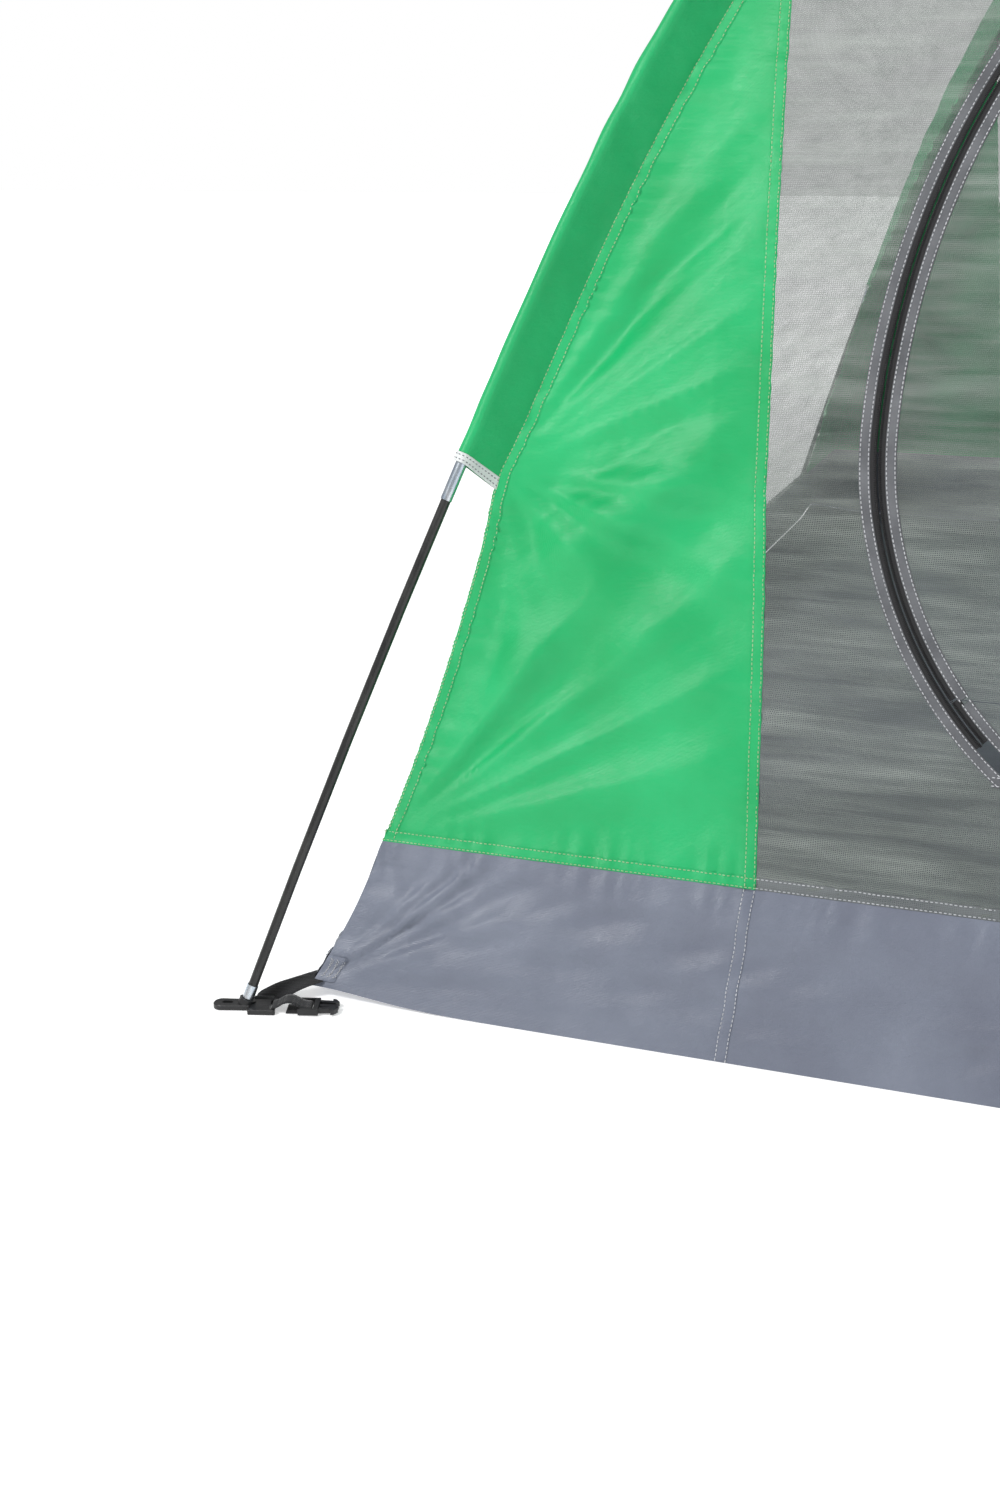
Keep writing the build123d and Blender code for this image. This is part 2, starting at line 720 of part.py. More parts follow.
def corner_plate():
    tail_end = Pos(-plate_tail_reach + plate_tail_radius, 0) * Circle(plate_tail_radius)
    lobe = make_hull([tail_end.edge(), Circle(boss_radius).edge()])
    head_length = plate_head_end - plate_head_start
    head_width = plate_head_front + plate_head_back
    head = Pos((plate_head_start + plate_head_end) / 2,
               (plate_head_back - plate_head_front) / 2) * RectangleRounded(
        head_length, head_width, plate_head_fillet)
    neck = Pos(plate_head_start, 0) * Rectangle(2 * boss_radius, 2 * boss_radius)
    solid = extrude(lobe + head + neck, plate_thickness)
    solid = chamfer(solid.edges().group_by(Axis.Z)[-1], plate_edge)
    stake = Pos(-stake_slot_centre, 0) * SlotOverall(stake_slot_length, stake_slot_width)
    solid = solid - extrude(stake, plate_thickness)
    span = webbing_width + 2 * webbing_clearance
    strap_cut = (strap_centre_x - span / 2, strap_centre_x + span / 2)
    buckle_cut = (buckle_centre_y - span / 2, buckle_centre_y + span / 2)
    past = plate_thickness
    whole = (-past, plate_thickness + past)
    # Two notches for the webbing, each closed again by a round bar across its mouth.
    solid = solid - block(strap_cut, (strap_bar_y - bar_diameter / 2 - slot_opening,
                                      plate_head_back + past), whole)
    solid = solid - block((buckle_bar_x - bar_diameter / 2 - slot_opening,
                           plate_head_end + past), buckle_cut, whole)
    bar_half = span / 2 + bar_diameter / 4
    along_x = Plane(origin=(strap_centre_x, strap_bar_y, bar_height), x_dir=(0, 1, 0),
                    z_dir=(1, 0, 0))
    along_y = Plane(origin=(buckle_bar_x, buckle_centre_y, bar_height), x_dir=(1, 0, 0),
                    z_dir=(0, 1, 0))
    for plane in (along_x, along_y):
        solid = solid + extrude(plane * Circle(bar_diameter / 2), bar_half, both=True)
    return solid


def boss_and_bore():
    """Raised seat for the pole's tip and the socket for its pin, at the -X foot."""
    bore_radius = end_pin_diameter / 2 + end_pin_clearance
    boss = foot_cylinder(boss_radius, -pole_foot_height * 2, -boss_gap)
    bore = foot_cylinder(bore_radius, -end_pin_length - end_pin_clearance, 0)
    ground = block((-2 * half_span, 0), (-half_span, half_span), (-half_span, 0))
    turn = Rot(0, 0, diagonal_azimuth)
    return turn * (boss - ground), turn * bore


def corner_strap():
    """Webbing round the plate's long bar and up to the tub's corner."""
    ring_plane = Plane(origin=(strap_centre_x, strap_bar_y, bar_height), x_dir=(0, 1, 0),
                       z_dir=(1, 0, 0))
    loop = extrude(ring_plane * strap_loop_outline(), webbing_width / 2, both=True)
    lean = math.atan2(tub_height, tub_lean)
    out = diagonal / 2 - strap_sewn_height / math.tan(lean)
    corner = Vector(-out * width_share, -out * depth_share, strap_sewn_height)
    top_of_loop = bar_height + strap_loop_reach - webbing_thickness / 2
    start = plate_frame.from_local_coords(Vector(strap_centre_x, strap_bar_y, top_of_loop))
    run = corner - start
    across = Vector(0, 0, 1).cross(run)
    section = Plane(origin=start, x_dir=across, z_dir=run) * Rectangle(webbing_width,
                                                                      webbing_thickness)
    return plate_frame.location * loop + extrude(section, run.length - webbing_thickness)


def strap_loop_outline():
    """Flat loop round a bar, a webbing's thickness all round."""
    return Circle(strap_loop_reach) - Circle(strap_loop_reach - webbing_thickness)


def buckle_strap():
    """Webbing round the plate's end bar, over a low hump and back round the plug's bar."""
    bar = (buckle_bar_x, bar_height)
    top_z = bar_height + strap_loop_reach - webbing_thickness / 2
    plug_x = buckle_bar_x + buckle_strap_run
    fold = strap_loop_reach - webbing_thickness / 2
    hump = FilletPolyline((bar[0], top_z), (bar[0] + buckle_strap_flat, top_z + buckle_strap_rise),
                          (plug_x - 2 * buckle_strap_flat + buckle_strap_rise,
                           top_z + buckle_strap_rise),
                          (plug_x - buckle_strap_flat, top_z), (plug_x, top_z),
                          radius=buckle_strap_rise)
    fold_arc = ThreePointArc((plug_x, top_z), (plug_x + fold, bar_height),
                             (plug_x, top_z - 2 * fold))
    tail = Line((plug_x, top_z - 2 * fold), (plug_x - buckle_tail_length, top_z - 2 * fold))
    ribbon = trace(Curve() + [hump, fold_arc, tail], webbing_thickness)
    profile = ribbon + Pos(*bar) * strap_loop_outline()
    upright = Plane(origin=(0, buckle_centre_y, 0), x_dir=(1, 0, 0), z_dir=(0, -1, 0))
    return extrude(upright * profile, webbing_width / 2, both=True)


def plug():
    """Male half of a side-release buckle: webbing frame, body, guide and two sprung arms."""
    bar_x = buckle_bar_x + buckle_strap_run
    centre_y = buckle_centre_y
    z_range = (plug_lift, plug_lift + plug_thickness)
    half = plug_width / 2
    frame_start = bar_x - buckle_strap_flat
    body_start = bar_x + strap_loop_reach + webbing_clearance + webbing_thickness
    body_end = body_start + plug_body_length
    tip = body_end + plug_prong_length
    pieces = [block((frame_start, body_start + plug_rail),
                    tuple(sorted((centre_y + side * half, centre_y + side * (half - plug_rail)))),
                    z_range) for side in (1, -1)]
    pieces.append(block((body_start, body_end), (centre_y - half, centre_y + half), z_range))
    bar = Plane(origin=(bar_x, centre_y, bar_height), x_dir=(1, 0, 0), z_dir=(0, 1, 0))
    pieces.append(extrude(bar * Circle(bar_diameter / 2), half - plug_rail / 2, both=True))
    pieces.append(block((body_end - plug_rail, tip), (centre_y - plug_guide_width / 2,
                                                      centre_y + plug_guide_width / 2),
                        (z_range[0] + plug_thickness / 4, z_range[1] - plug_thickness / 4)))
    for side in (1, -1):
        root = half - plug_rail
        arm = Polyline((body_end - plug_rail, side * (root - plug_arm_width)),
                       (tip - plug_arm_width, side * (root - 2 * plug_arm_width)),
                       (tip, side * (root - plug_arm_width)),
                       (tip - plug_arm_width, side * (half - plug_barb / 2)),
                       (tip - 2 * plug_arm_width, side * half),
                       (tip - 2 * plug_arm_width, side * (root - plug_barb / 2)),
                       (body_end - plug_rail, side * root), close=True)
        pieces.append(Pos(0, centre_y, z_range[0] + plug_thickness / 8) * extrude(
            make_face(arm), plug_thickness * 3 / 4))
    solid = pieces[0]
    for piece in pieces[1:]:
        solid = solid + piece
    return solid


def build_corners():
    boss, bore = boss_and_bore()
    plate = plate_frame.location * corner_plate() + boss - bore
    pieces = {
        "corner_plate": plate,
        "corner_strap": corner_strap(),
        "buckle_strap": plate_frame.location * buckle_strap(),
        "buckle_plug": plate_frame.location * plug(),
    }
    for name, piece in pieces.items():
        other = mirror(piece, Plane.YZ)
        nodes[f"front_left_{name}"] = [piece]
        nodes[f"front_right_{name}"] = [other]
        nodes[f"rear_left_{name}"] = [mirror(piece, Plane.XZ)]
        nodes[f"rear_right_{name}"] = [mirror(other, Plane.XZ)]


build_poles()
build_side_walls()
build_rear_wall()
build_tub()
build_front_wall()
build_sleeves()
build_crossing_tie()
build_slider()
build_corners()

for name, solids in nodes.items():
    flat = [solid for item in solids for solid in item.solids()]
    export_step(Compound(children=flat), f"parts/{name}.step")
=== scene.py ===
"""Looks of a dome tent's inner body, pitched on two crossing poles, with its door zipped up.

Metres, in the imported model's frame. Each wall is a curved sheet with a flat chart: x along
the wall and q up it, with q = 0 at the top of the bathtub floor. Everything sewn to a wall
is laid out in that chart, so that panels, seams, tapes and stitches keep together.
"""

import math

import bpy
import numpy as np
from mathutils import Matrix, Vector


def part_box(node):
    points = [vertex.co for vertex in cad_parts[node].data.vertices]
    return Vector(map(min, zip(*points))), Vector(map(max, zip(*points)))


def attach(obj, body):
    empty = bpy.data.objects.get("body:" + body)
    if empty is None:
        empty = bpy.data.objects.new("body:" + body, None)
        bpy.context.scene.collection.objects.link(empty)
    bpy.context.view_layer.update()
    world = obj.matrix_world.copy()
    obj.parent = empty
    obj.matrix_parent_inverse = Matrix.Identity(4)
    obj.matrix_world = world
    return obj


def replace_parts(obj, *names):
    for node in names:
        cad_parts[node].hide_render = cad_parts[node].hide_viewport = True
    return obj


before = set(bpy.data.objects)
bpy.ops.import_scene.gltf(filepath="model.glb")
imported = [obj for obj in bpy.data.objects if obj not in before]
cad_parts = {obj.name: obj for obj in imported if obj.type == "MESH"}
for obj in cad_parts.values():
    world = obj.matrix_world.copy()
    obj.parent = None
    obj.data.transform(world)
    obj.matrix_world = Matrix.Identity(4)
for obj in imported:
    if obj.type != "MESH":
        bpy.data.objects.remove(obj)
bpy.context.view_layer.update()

# --- Sizes ---------------------------------------------------------------------------------

HALF_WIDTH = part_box("tub_front_wall")[1].x
HALF_DEPTH = -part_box("tub_front_wall")[0].y
TUB_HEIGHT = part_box("tub_front_wall")[1].z
POLE_RADIUS = 0.00475
LOWER_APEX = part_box("pole_a_sections")[1].z - POLE_RADIUS
UPPER_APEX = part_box("pole_b_sections")[1].z - POLE_RADIUS
HALF_DIAGONAL = math.hypot(HALF_WIDTH, HALF_DEPTH)
WIDTH_SHARE = HALF_WIDTH / HALF_DIAGONAL
DEPTH_SHARE = HALF_DEPTH / HALF_DIAGONAL

TUB_LEAN = 0.078           # the tub's corner leans in this far, along the diagonal
WEB_DEPTH = 0.042          # pole centre line to the fabric corner below it
MOUTH_HEIGHT = 0.507       # below this the fabric corner is free of the pole
POLE_FOOT_REACH = 0.063
POLE_FOOT_HEIGHT = 0.009
FOOT_SLOPE = math.radians(67.3)
LEG_TOP_SLOPE = math.radians(63.5)
PANEL_WIDTH = 0.369        # solid corner panel, at the top of the tub
SEAM_LEAN = 0.067          # its seam runs outwards per unit of height
SEAM_HALF = 0.00015        # half the gap between panels sewn edge to edge
REAR_PANEL_TOP = 0.700
HEM_WIDTH = 0.0115         # flat-felled seam
HEM_LIFT = 0.0007
HEM_STITCHES = 0.0042      # from a hem's middle to each of its two rows
TUB_STITCHES = 0.0048
BINDING_STITCHES = 0.0037
STITCH_PITCH = 0.0042
STITCH_LENGTH = 0.0031
THREAD = 0.00060

DOOR_X = -0.327
DOOR_HEIGHT = 0.565        # its widest place
DOOR_TOP_RADIUS = 0.700
DOOR_SIDE_RADIUS = 0.380
DOOR_SILL = 0.270
ZIPPER_END = 0.300
ZIPPER_TAIL = 0.050
FOLD_GAP = 0.001
TAPE_HALF = 0.009
COIL_HALF = 0.0034
SLIT_HALF = 0.0008         # the rows of teeth stand apart where the slider runs
TOOTH_PITCH = 0.0016
TOOTH_WIDTH = TOOTH_PITCH * 0.62
TOOTH_LIFT, TOOTH_HEIGHT = 0.0006, 0.00075
TAPE_LIFT = 0.0003
BINDING_CENTRE = 0.0115    # from the zipper's middle
BINDING_WIDTH = 0.010
BINDING_BASE = 0.0002

SLEEVE_RADIUS = 0.0072
SLEEVE_SEAT = 0.0008
SLEEVE_END = 0.160         # sleeves stop this far short of the crossing
BINDING_BAND = 0.009
BAND_OVERLAP, BAND_OUTSIDE, BAND_INSIDE, BAND_STEP = 0.0004, 0.0007, 0.0003, 0.0015
MOUTH_SLANT = 0.010

FINE, MEDIUM, COARSE = 0.0055, 0.011, 0.020
PATH_STEP = 0.010          # between the points of a seam's path
CLEAR = 0.001              # seams stop this far short of each other


# --- Profile of the corner, and the charts of the walls ------------------------------------


class Pole:
    """Half-span curve of a pole: a stiff leg and a rounder crown, two tangent arcs."""

    def __init__(self, apex):
        rise = apex - POLE_FOOT_HEIGHT
        span = HALF_DIAGONAL + POLE_FOOT_REACH
        leg_run = math.sin(FOOT_SLOPE) - math.sin(LEG_TOP_SLOPE)
        leg_rise = math.cos(LEG_TOP_SLOPE) - math.cos(FOOT_SLOPE)
        crown_run = math.sin(LEG_TOP_SLOPE)
        crown_rise = 1 - math.cos(LEG_TOP_SLOPE)
        scale = leg_run * crown_rise - crown_run * leg_rise
        self.leg = (span * crown_rise - crown_run * rise) / scale
        self.crown = (leg_run * rise - leg_rise * span) / scale
        self.crown_z = apex - self.crown
        self.leg_s = (self.crown - self.leg) * crown_run
        self.leg_z = self.crown_z + (self.crown - self.leg) * math.cos(LEG_TOP_SLOPE)
        self.leg_length = self.leg * (FOOT_SLOPE - LEG_TOP_SLOPE)
        self.half_length = self.leg_length + self.crown * LEG_TOP_SLOPE

    def at(self, length):
        """Distance out, height and outward normal's angle at lengths up from the foot."""
        on_leg = length < self.leg_length
        angle = np.where(on_leg, math.pi / 2 - FOOT_SLOPE + length / self.leg,
                         math.pi / 2 - LEG_TOP_SLOPE + (length - self.leg_length) / self.crown)
        radius = np.where(on_leg, self.leg, self.crown)
        s = np.where(on_leg, self.leg_s, 0.0) + radius * np.cos(angle)
        z = np.where(on_leg, self.leg_z, self.crown_z) + radius * np.sin(angle)
        return s, z, angle

    def length_at(self, height):
        angle = math.asin((height - self.leg_z) / self.leg)
        return self.leg * (angle - (math.pi / 2 - FOOT_SLOPE))


LOWER, UPPER = Pole(LOWER_APEX), Pole(UPPER_APEX)


TUB_ROWS, FREE_ROWS, LEG_ROWS, CROWN_ROWS = 60, 120, 60, 400


def corner_profile():
    """Distance out along the diagonal and height of the fabric's corner, ground to crown."""
    foot, top = HALF_DIAGONAL, HALF_DIAGONAL - TUB_LEAN
    tub = [(foot + (top - foot) * t, TUB_HEIGHT * t) for t in np.linspace(0, 1, TUB_ROWS)]
    leg, crown = LOWER.leg - WEB_DEPTH, LOWER.crown - WEB_DEPTH
    start = math.asin((MOUTH_HEIGHT - LOWER.leg_z) / leg)
    mouth = LOWER.leg_s + leg * math.cos(start)
    free = [(top + (mouth - top) * t, TUB_HEIGHT + (MOUTH_HEIGHT - TUB_HEIGHT) * t)
            for t in np.linspace(0, 1, FREE_ROWS)[1:]]
    turn = math.pi / 2 - LEG_TOP_SLOPE
    upper = [(LOWER.leg_s + leg * math.cos(a), LOWER.leg_z + leg * math.sin(a))
             for a in np.linspace(start, turn, LEG_ROWS)[1:]]
    crown_part = [(crown * math.cos(a), LOWER.crown_z + crown * math.sin(a))
                  for a in np.linspace(turn, math.pi / 2, CROWN_ROWS)[1:]]
    return np.array(tub + free + upper + crown_part)


PROFILE = corner_profile()
OUTWARD = {"front": (0, -1), "rear": (0, 1), "left": (-1, 0), "right": (1, 0)}


# Ripples of the cloth: height and pitch, in metres, or in radians for those that fan out.
EDGE_PUCKERS = (0.0022, 0.021)
SEAM_PUCKERS = (0.0026, 0.019)
HEM_PUCKERS = (0.0019, 0.023)
TUB_RAYS = (0.0085, 0.34)
MOUTH_RAYS = (0.0040, 0.40)
DIAGONAL_FOLDS = (0.0062, 0.135)
FINE_FOLDS = (0.0011, 0.043)
STEEP_STREAKS = (0.0021, 0.062)
LEVEL_STREAKS = (0.0024, 0.105)
LONG_TUB_FOLDS = (0.0050, 0.071)
CORNER_TUB_FOLDS = (0.0030, 0.21)
CRUMPLES = (0.0024, 0.045)
SLEEVE_PUCKERS = (0.0016, 0.026)
SLEEVE_FOLDS = (0.0006, 0.085)
SLEEVE_WAVER = (0.0007, 0.19)

# Creases from a held point: degrees over the horizontal, half-width, height and reach.
TUB_CREASES = ((33, 0.0030, 0.0042, 0.20), (42, 0.0035, 0.0034, 0.17),
               (24, 0.0035, 0.0030, 0.15), (55, 0.0040, -0.0026, 0.22),
               (66, 0.0035, 0.0024, 0.16))
MOUTH_CREASES = ((6, 0.0040, 0.0030, 0.13), (19, 0.0040, -0.0026, 0.17),
                 (31, 0.0035, 0.0036, 0.18), (47, 0.0045, 0.0030, 0.19))
FLOOR_CREASES = ((20, 0.0030, 0.0030, 0.09), (33, 0.0030, 0.0036, 0.08),
                 (47, 0.0030, -0.0028, 0.08), (58, 0.0030, 0.0032, 0.07),
                 (11, 0.0035, -0.0026, 0.13))
CREASE_SPREAD = 0.012      # a crease widens by this share of its length
CREASE_START = 0.06

# Pull of the poles and straps on the body: distances moved and how far each reaches.
CORNER_HOLLOW, CORNER_REACH = 0.0085, 0.14
MOUTH_TUG, MOUTH_TUG_HEIGHT, MOUTH_TUG_REACH = 0.004, 0.49, 0.035
FLOOR_LIFT, FLOOR_LIFT_REACH = 0.011, 0.085
TUB_BELLY, TUB_BELLY_REACH = 0.006, 0.10
TINY = 1e-6                # keeps angles defined at a crease's own start


def wave(t, pitch, seed):
    """An uneven ripple between -1 and 1 along t."""
    a = 2 * math.pi * t / pitch
    bend = 1.7 * np.sin(a / 3.7 + seed) + 1.1 * np.sin(a / 8.3 + 2.1 * seed)
    return np.sin(a + bend + seed) * (0.6 + 0.4 * np.sin(a / 5.1 + 3.3 * seed))


def ripple(t, size, seed):
    """A wave with its height and pitch given as a pair."""
    return size[0] * wave(t, size[1], seed)


def near(distance, reach):
    """One at a line, falling off on both sides."""
    return np.exp(-np.abs(distance) / reach)


def bell(distance, reach):
    """One at a line, falling off smoothly on both sides."""
    return np.exp(-(distance / reach) ** 2)


def beside(distance, reach):
    """Nothing at a seam, most at reach from it, and nothing again further off."""
    d = np.maximum(distance, 0) / reach
    return d * np.exp(1 - d)


def ease_in(distance, reach):
    """From nothing at a line to one at reach from it."""
    return np.clip(distance / reach, 0, 1)


def drawn(points):
    """Pull of the poles and straps: hollow free corners and lifted floor corners."""
    x, y, z = points.T
    off = np.abs(np.abs(x) * DEPTH_SHARE - np.abs(y) * WIDTH_SHARE)
    free = np.clip((z - TUB_HEIGHT) / (MOUTH_HEIGHT - TUB_HEIGHT), 0, 1)
    hollow = CORNER_HOLLOW * np.sin(math.pi * free ** 0.8)
    hollow = hollow - MOUTH_TUG * bell(z - MOUTH_TUG_HEIGHT, MOUTH_TUG_REACH)
    inward = hollow * bell(off, CORNER_REACH)
    in_tub = np.clip(z / TUB_HEIGHT, 0, 1)
    away = np.hypot(HALF_WIDTH - np.abs(x), HALF_DEPTH - np.abs(y))
    belly = TUB_BELLY * np.sin(math.pi * in_tub) * bell(off, TUB_BELLY_REACH)
    inward = inward + belly * (z < TUB_HEIGHT)
    moved = points.copy()
    moved[:, 0] -= np.sign(x) * WIDTH_SHARE * inward
    moved[:, 1] -= np.sign(y) * DEPTH_SHARE * inward
    moved[:, 2] += FLOOR_LIFT * np.clip(1 - z / TUB_HEIGHT, 0, 1) * bell(away, FLOOR_LIFT_REACH)
    return moved


def unit(vectors):
    """Vectors scaled to length one."""
    return vectors / np.linalg.norm(vectors, axis=1)[:, None]


def distances(path):
    """Distance along a line at each of its points."""
    steps = np.linalg.norm(np.diff(path, axis=0), axis=1)
    return np.concatenate([[0], np.cumsum(steps)])


def points_at(marks, at, path):
    """Places on a line at given distances, from the distance of each of its points."""
    return np.column_stack([np.interp(marks, at, column) for column in path.T])


class Wall:
    """One side of the body as a developed sheet, from the ground to the crown."""

    def __init__(self, side, seed):
        self.side, self.seed = side, seed
        self.out = np.array(OUTWARD[side], float)
        self.run = np.array([abs(self.out[1]), abs(self.out[0])])
        level = side in ("front", "rear")
        self.share, self.cross = ((DEPTH_SHARE, WIDTH_SHARE) if level
                                  else (WIDTH_SHARE, DEPTH_SHARE))
        self.distance, self.height = PROFILE[:, 0] * self.share, PROFILE[:, 1]
        steps = np.hypot(np.diff(self.distance), np.diff(self.height))
        q = np.concatenate([[0], np.cumsum(steps)])
        self.q = q - q[TUB_ROWS - 1]
        slope = np.stack([np.gradient(self.distance, self.q), np.gradient(self.height, self.q)])
        kernel = np.hanning(15) / np.hanning(15).sum()
        slope = np.array([np.convolve(np.pad(c, 7, mode="edge"), kernel, "valid") for c in slope])
        self.slope = slope / np.linalg.norm(slope, axis=0)
        self.ground, self.top = self.q[0], self.q[-1]
        self.low_seam = (HALF_DIAGONAL - TUB_LEAN) * self.cross - PANEL_WIDTH

    def q_at(self, height):
        return np.interp(height, self.height, self.q)

    def z_at(self, q):
        return np.interp(q, self.q, self.height)

    def edge(self, q):
        return np.interp(q, self.q, self.distance) * self.cross / self.share

    def seam(self, q):
        return self.low_seam + SEAM_LEAN * (self.z_at(q) - TUB_HEIGHT)

    def folds(self, x, q):
        """Height of the cloth's own folds and puckers over the smooth wall."""
        seed = self.seed + 1.3 * (x > 0)
        edge, past = self.edge(q) - np.abs(x), np.abs(x) - self.seam(q)
        upper = self.panel_folds(x, q, edge, past, seed) * (past > -0.01)
        upper = upper + self.mesh_streaks(x, q, past, seed)
        return (np.where(q > 0, upper, self.tub_folds(x, q, edge, seed))
                + self.puckers(x, q, edge, past, seed))

    def puckers(self, x, q, edge, past, seed):
        """Short ripples where thread gathers the cloth along the seams."""
        rows = ripple(q, EDGE_PUCKERS, seed) * beside(edge, 0.011)
        rows += (q > 0) * ripple(q - 0.25 * past, SEAM_PUCKERS, seed + 4) * near(past, 0.019)
        return rows + ripple(x, HEM_PUCKERS, seed + 1) * beside(np.abs(q), 0.009)

    def panel_folds(self, x, q, edge, past, seed):
        """Folds of the solid panels, from the tub's corner and from the sleeve's mouth."""
        a, up = np.abs(x), q - self.q_at(MOUTH_HEIGHT)
        from_tub, tub_away = np.arctan2(q, edge + TINY), np.hypot(q, edge)
        from_mouth, mouth_away = np.arctan2(up, edge + TINY), np.hypot(up, edge)
        rays = ripple(from_tub, TUB_RAYS, seed + 2) * beside(tub_away, 0.26)
        rays += ripple(from_mouth, MOUTH_RAYS, seed + 6) * beside(mouth_away, 0.17)
        rays += self.creases(from_tub, tub_away, TUB_CREASES, seed)
        rays += self.creases(from_mouth, mouth_away, MOUTH_CREASES, seed)
        across = q * 0.84 - edge * 0.54
        rays += ripple(across, DIAGONAL_FOLDS, seed + 3) * (0.5 + 0.5 * wave(a, 0.31, seed))
        rays += ripple(across + 0.2 * a, FINE_FOLDS, seed + 5) * wave(a + q, 0.13, seed + 8)
        held = ease_in(edge, 0.055) * np.clip(past / 0.05, 0.12, 1)
        return rays * held * ease_in(q, 0.05) * ease_in(self.top - q, 0.3)

    def mesh_streaks(self, x, q, past, seed):
        """Low slanted folds of the taut mesh."""
        streak = ripple(q * 0.55 + past * 0.9, STEEP_STREAKS, seed + 7)
        streak += ripple(q * 0.9 - past * 0.35, LEVEL_STREAKS, seed + 9)
        streak *= (0.55 + 0.45 * wave(q + np.abs(x), 0.4, seed)) * ease_in(q, 0.04)
        return streak * ease_in(-past, 0.04) * self.calm(x, q)

    def tub_folds(self, x, q, edge, seed):
        """Long folds and corner creases of the bathtub floor's wall."""
        a, up = np.abs(x), q - self.ground
        tub = ripple(q + 0.02 * np.sin(x * 6 + seed), LONG_TUB_FOLDS, seed + 2)
        tub *= 0.55 + 0.45 * wave(a, 0.33, seed + 5)
        from_floor = np.arctan2(up, edge + 0.004)
        tub += ripple(from_floor, CORNER_TUB_FOLDS, seed + 4) * beside(edge, 0.075)
        tub += self.creases(from_floor, np.hypot(up, edge), FLOOR_CREASES, seed)
        from_top = np.arctan2(-q, edge + TINY)
        tub += self.creases(from_top, np.hypot(q, edge), FLOOR_CREASES, seed + 2) * 0.7
        tub += ripple(a * 0.5 + q, CRUMPLES, seed + 1) * wave(q - 0.2 * a, 0.052, seed)
        return tub * ease_in(edge, 0.02) * ease_in(-q, 0.03) * ease_in(up, 0.025)

    def creases(self, angle, away, creases, seed):
        """Straight tension creases that fan out from a point where the cloth is held."""
        height = np.zeros(np.shape(angle))
        for index, (turn, width, rise, reach) in enumerate(creases):
            turn = np.radians(turn + 2.5 * np.sin(seed * 3 + index))
            aside = np.abs(angle - turn) * np.minimum(away, reach)
            fade = np.exp(-aside / (width + CREASE_SPREAD * away))
            height += rise * fade * beside(away, reach) * ease_in(away, CREASE_START)
        return height

    def calm(self, x, q):
        """Keeps the mesh smooth where the door's tapes and slider lie."""
        return 1.0

    def place(self, x, q, lift=0.0):
        """Points of chart places x, q at a height over the cloth."""
        x, q = np.broadcast_arrays(np.asarray(x, float), np.asarray(q, float))
        shape, x, q = x.shape, x.ravel(), q.ravel()
        lift = np.broadcast_to(lift, shape).ravel() + self.folds(x, q)
        out = np.interp(q, self.q, self.distance)
        along_out = np.interp(q, self.q, self.slope[0])
        along_up = np.interp(q, self.q, self.slope[1])
        out, z = out + along_up * lift, self.z_at(q) - along_out * lift
        plan = x[:, None] * self.run + out[:, None] * self.out
        return drawn(np.column_stack([plan, z])).reshape(*shape, 3)


class FrontWall(Wall):
    """The wall with the door, drawn in the plane of the lower wall."""

    def __init__(self, seed):
        self.door_q = None
        super().__init__("front", seed)
        low, mouth = PROFILE[TUB_ROWS - 1], PROFILE[TUB_ROWS + FREE_ROWS - 2]
        run, rise = (low[0] - mouth[0]) * self.share, mouth[1] - low[1]
        self.sin, self.cos = rise / math.hypot(run, rise), run / math.hypot(run, rise)
        above = (DOOR_HEIGHT - MOUTH_HEIGHT) * self.cos / self.sin
        out = mouth[0] * self.share - above
        self.door_y = (self.height - DOOR_HEIGHT) * self.sin - (self.distance - out) * self.cos
        self.door_q = self.q

    def q_of(self, up):
        """Chart place of a distance up the door's plane."""
        return np.interp(up, self.door_y, self.q)

    def calm(self, x, q):
        if self.door_q is None:
            return 1.0
        u, v = x - DOOR_X, np.interp(q, self.q, self.door_y)
        side = np.hypot(np.abs(u) - (DOOR_TOP_RADIUS - DOOR_SIDE_RADIUS), v) - DOOR_SIDE_RADIUS
        ring = np.where(v > 0, np.hypot(u, v) - DOOR_TOP_RADIUS, side)
        return np.clip(np.abs(ring) / 0.06 - 0.25, 0, 1)


walls = {"front": FrontWall(0.7), "rear": Wall("rear", 2.9),
         "left": Wall("left", 4.4), "right": Wall("right", 6.1)}


# --- Mesh makers ---------------------------------------------------------------------------


def mesh_object(name, points, faces, material, body, uv=None, smooth=True):
    """An object from points and equal-sided faces, riding on a body."""
    mesh = bpy.data.meshes.new(name)
    faces = np.asarray(faces)
    mesh.vertices.add(len(points))
    mesh.vertices.foreach_set("co", np.asarray(points, np.float32).ravel())
    mesh.loops.add(faces.size)
    mesh.loops.foreach_set("vertex_index", faces.ravel().astype(np.int32))
    mesh.polygons.add(len(faces))
    starts = np.arange(len(faces), dtype=np.int32) * faces.shape[1]
    mesh.polygons.foreach_set("loop_start", starts)
    mesh.polygons.foreach_set("use_smooth", np.full(len(faces), smooth))
    if uv is not None:
        layer = mesh.uv_layers.new(name="cloth")
        layer.data.foreach_set("uv", np.asarray(uv, np.float32)[faces.ravel()].ravel())
    mesh.update()
    mesh.validate()
    mesh.materials.append(material)
    made = bpy.data.objects.new(name, mesh)
    bpy.context.scene.collection.objects.link(made)
    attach(made, body)
    return made


def grid_faces(rows, columns, closed=False):
    """Quads of a grid of points, row by row; closed joins the last column to the first."""
    index = np.arange(rows * columns).reshape(rows, columns)
    if closed:
        index = np.hstack([index, index[:, :1]])
    a, b, c, d = index[:-1, :-1], index[:-1, 1:], index[1:, 1:], index[1:, :-1]
    return np.stack([a, b, c, d], axis=-1).reshape(-1, 4)


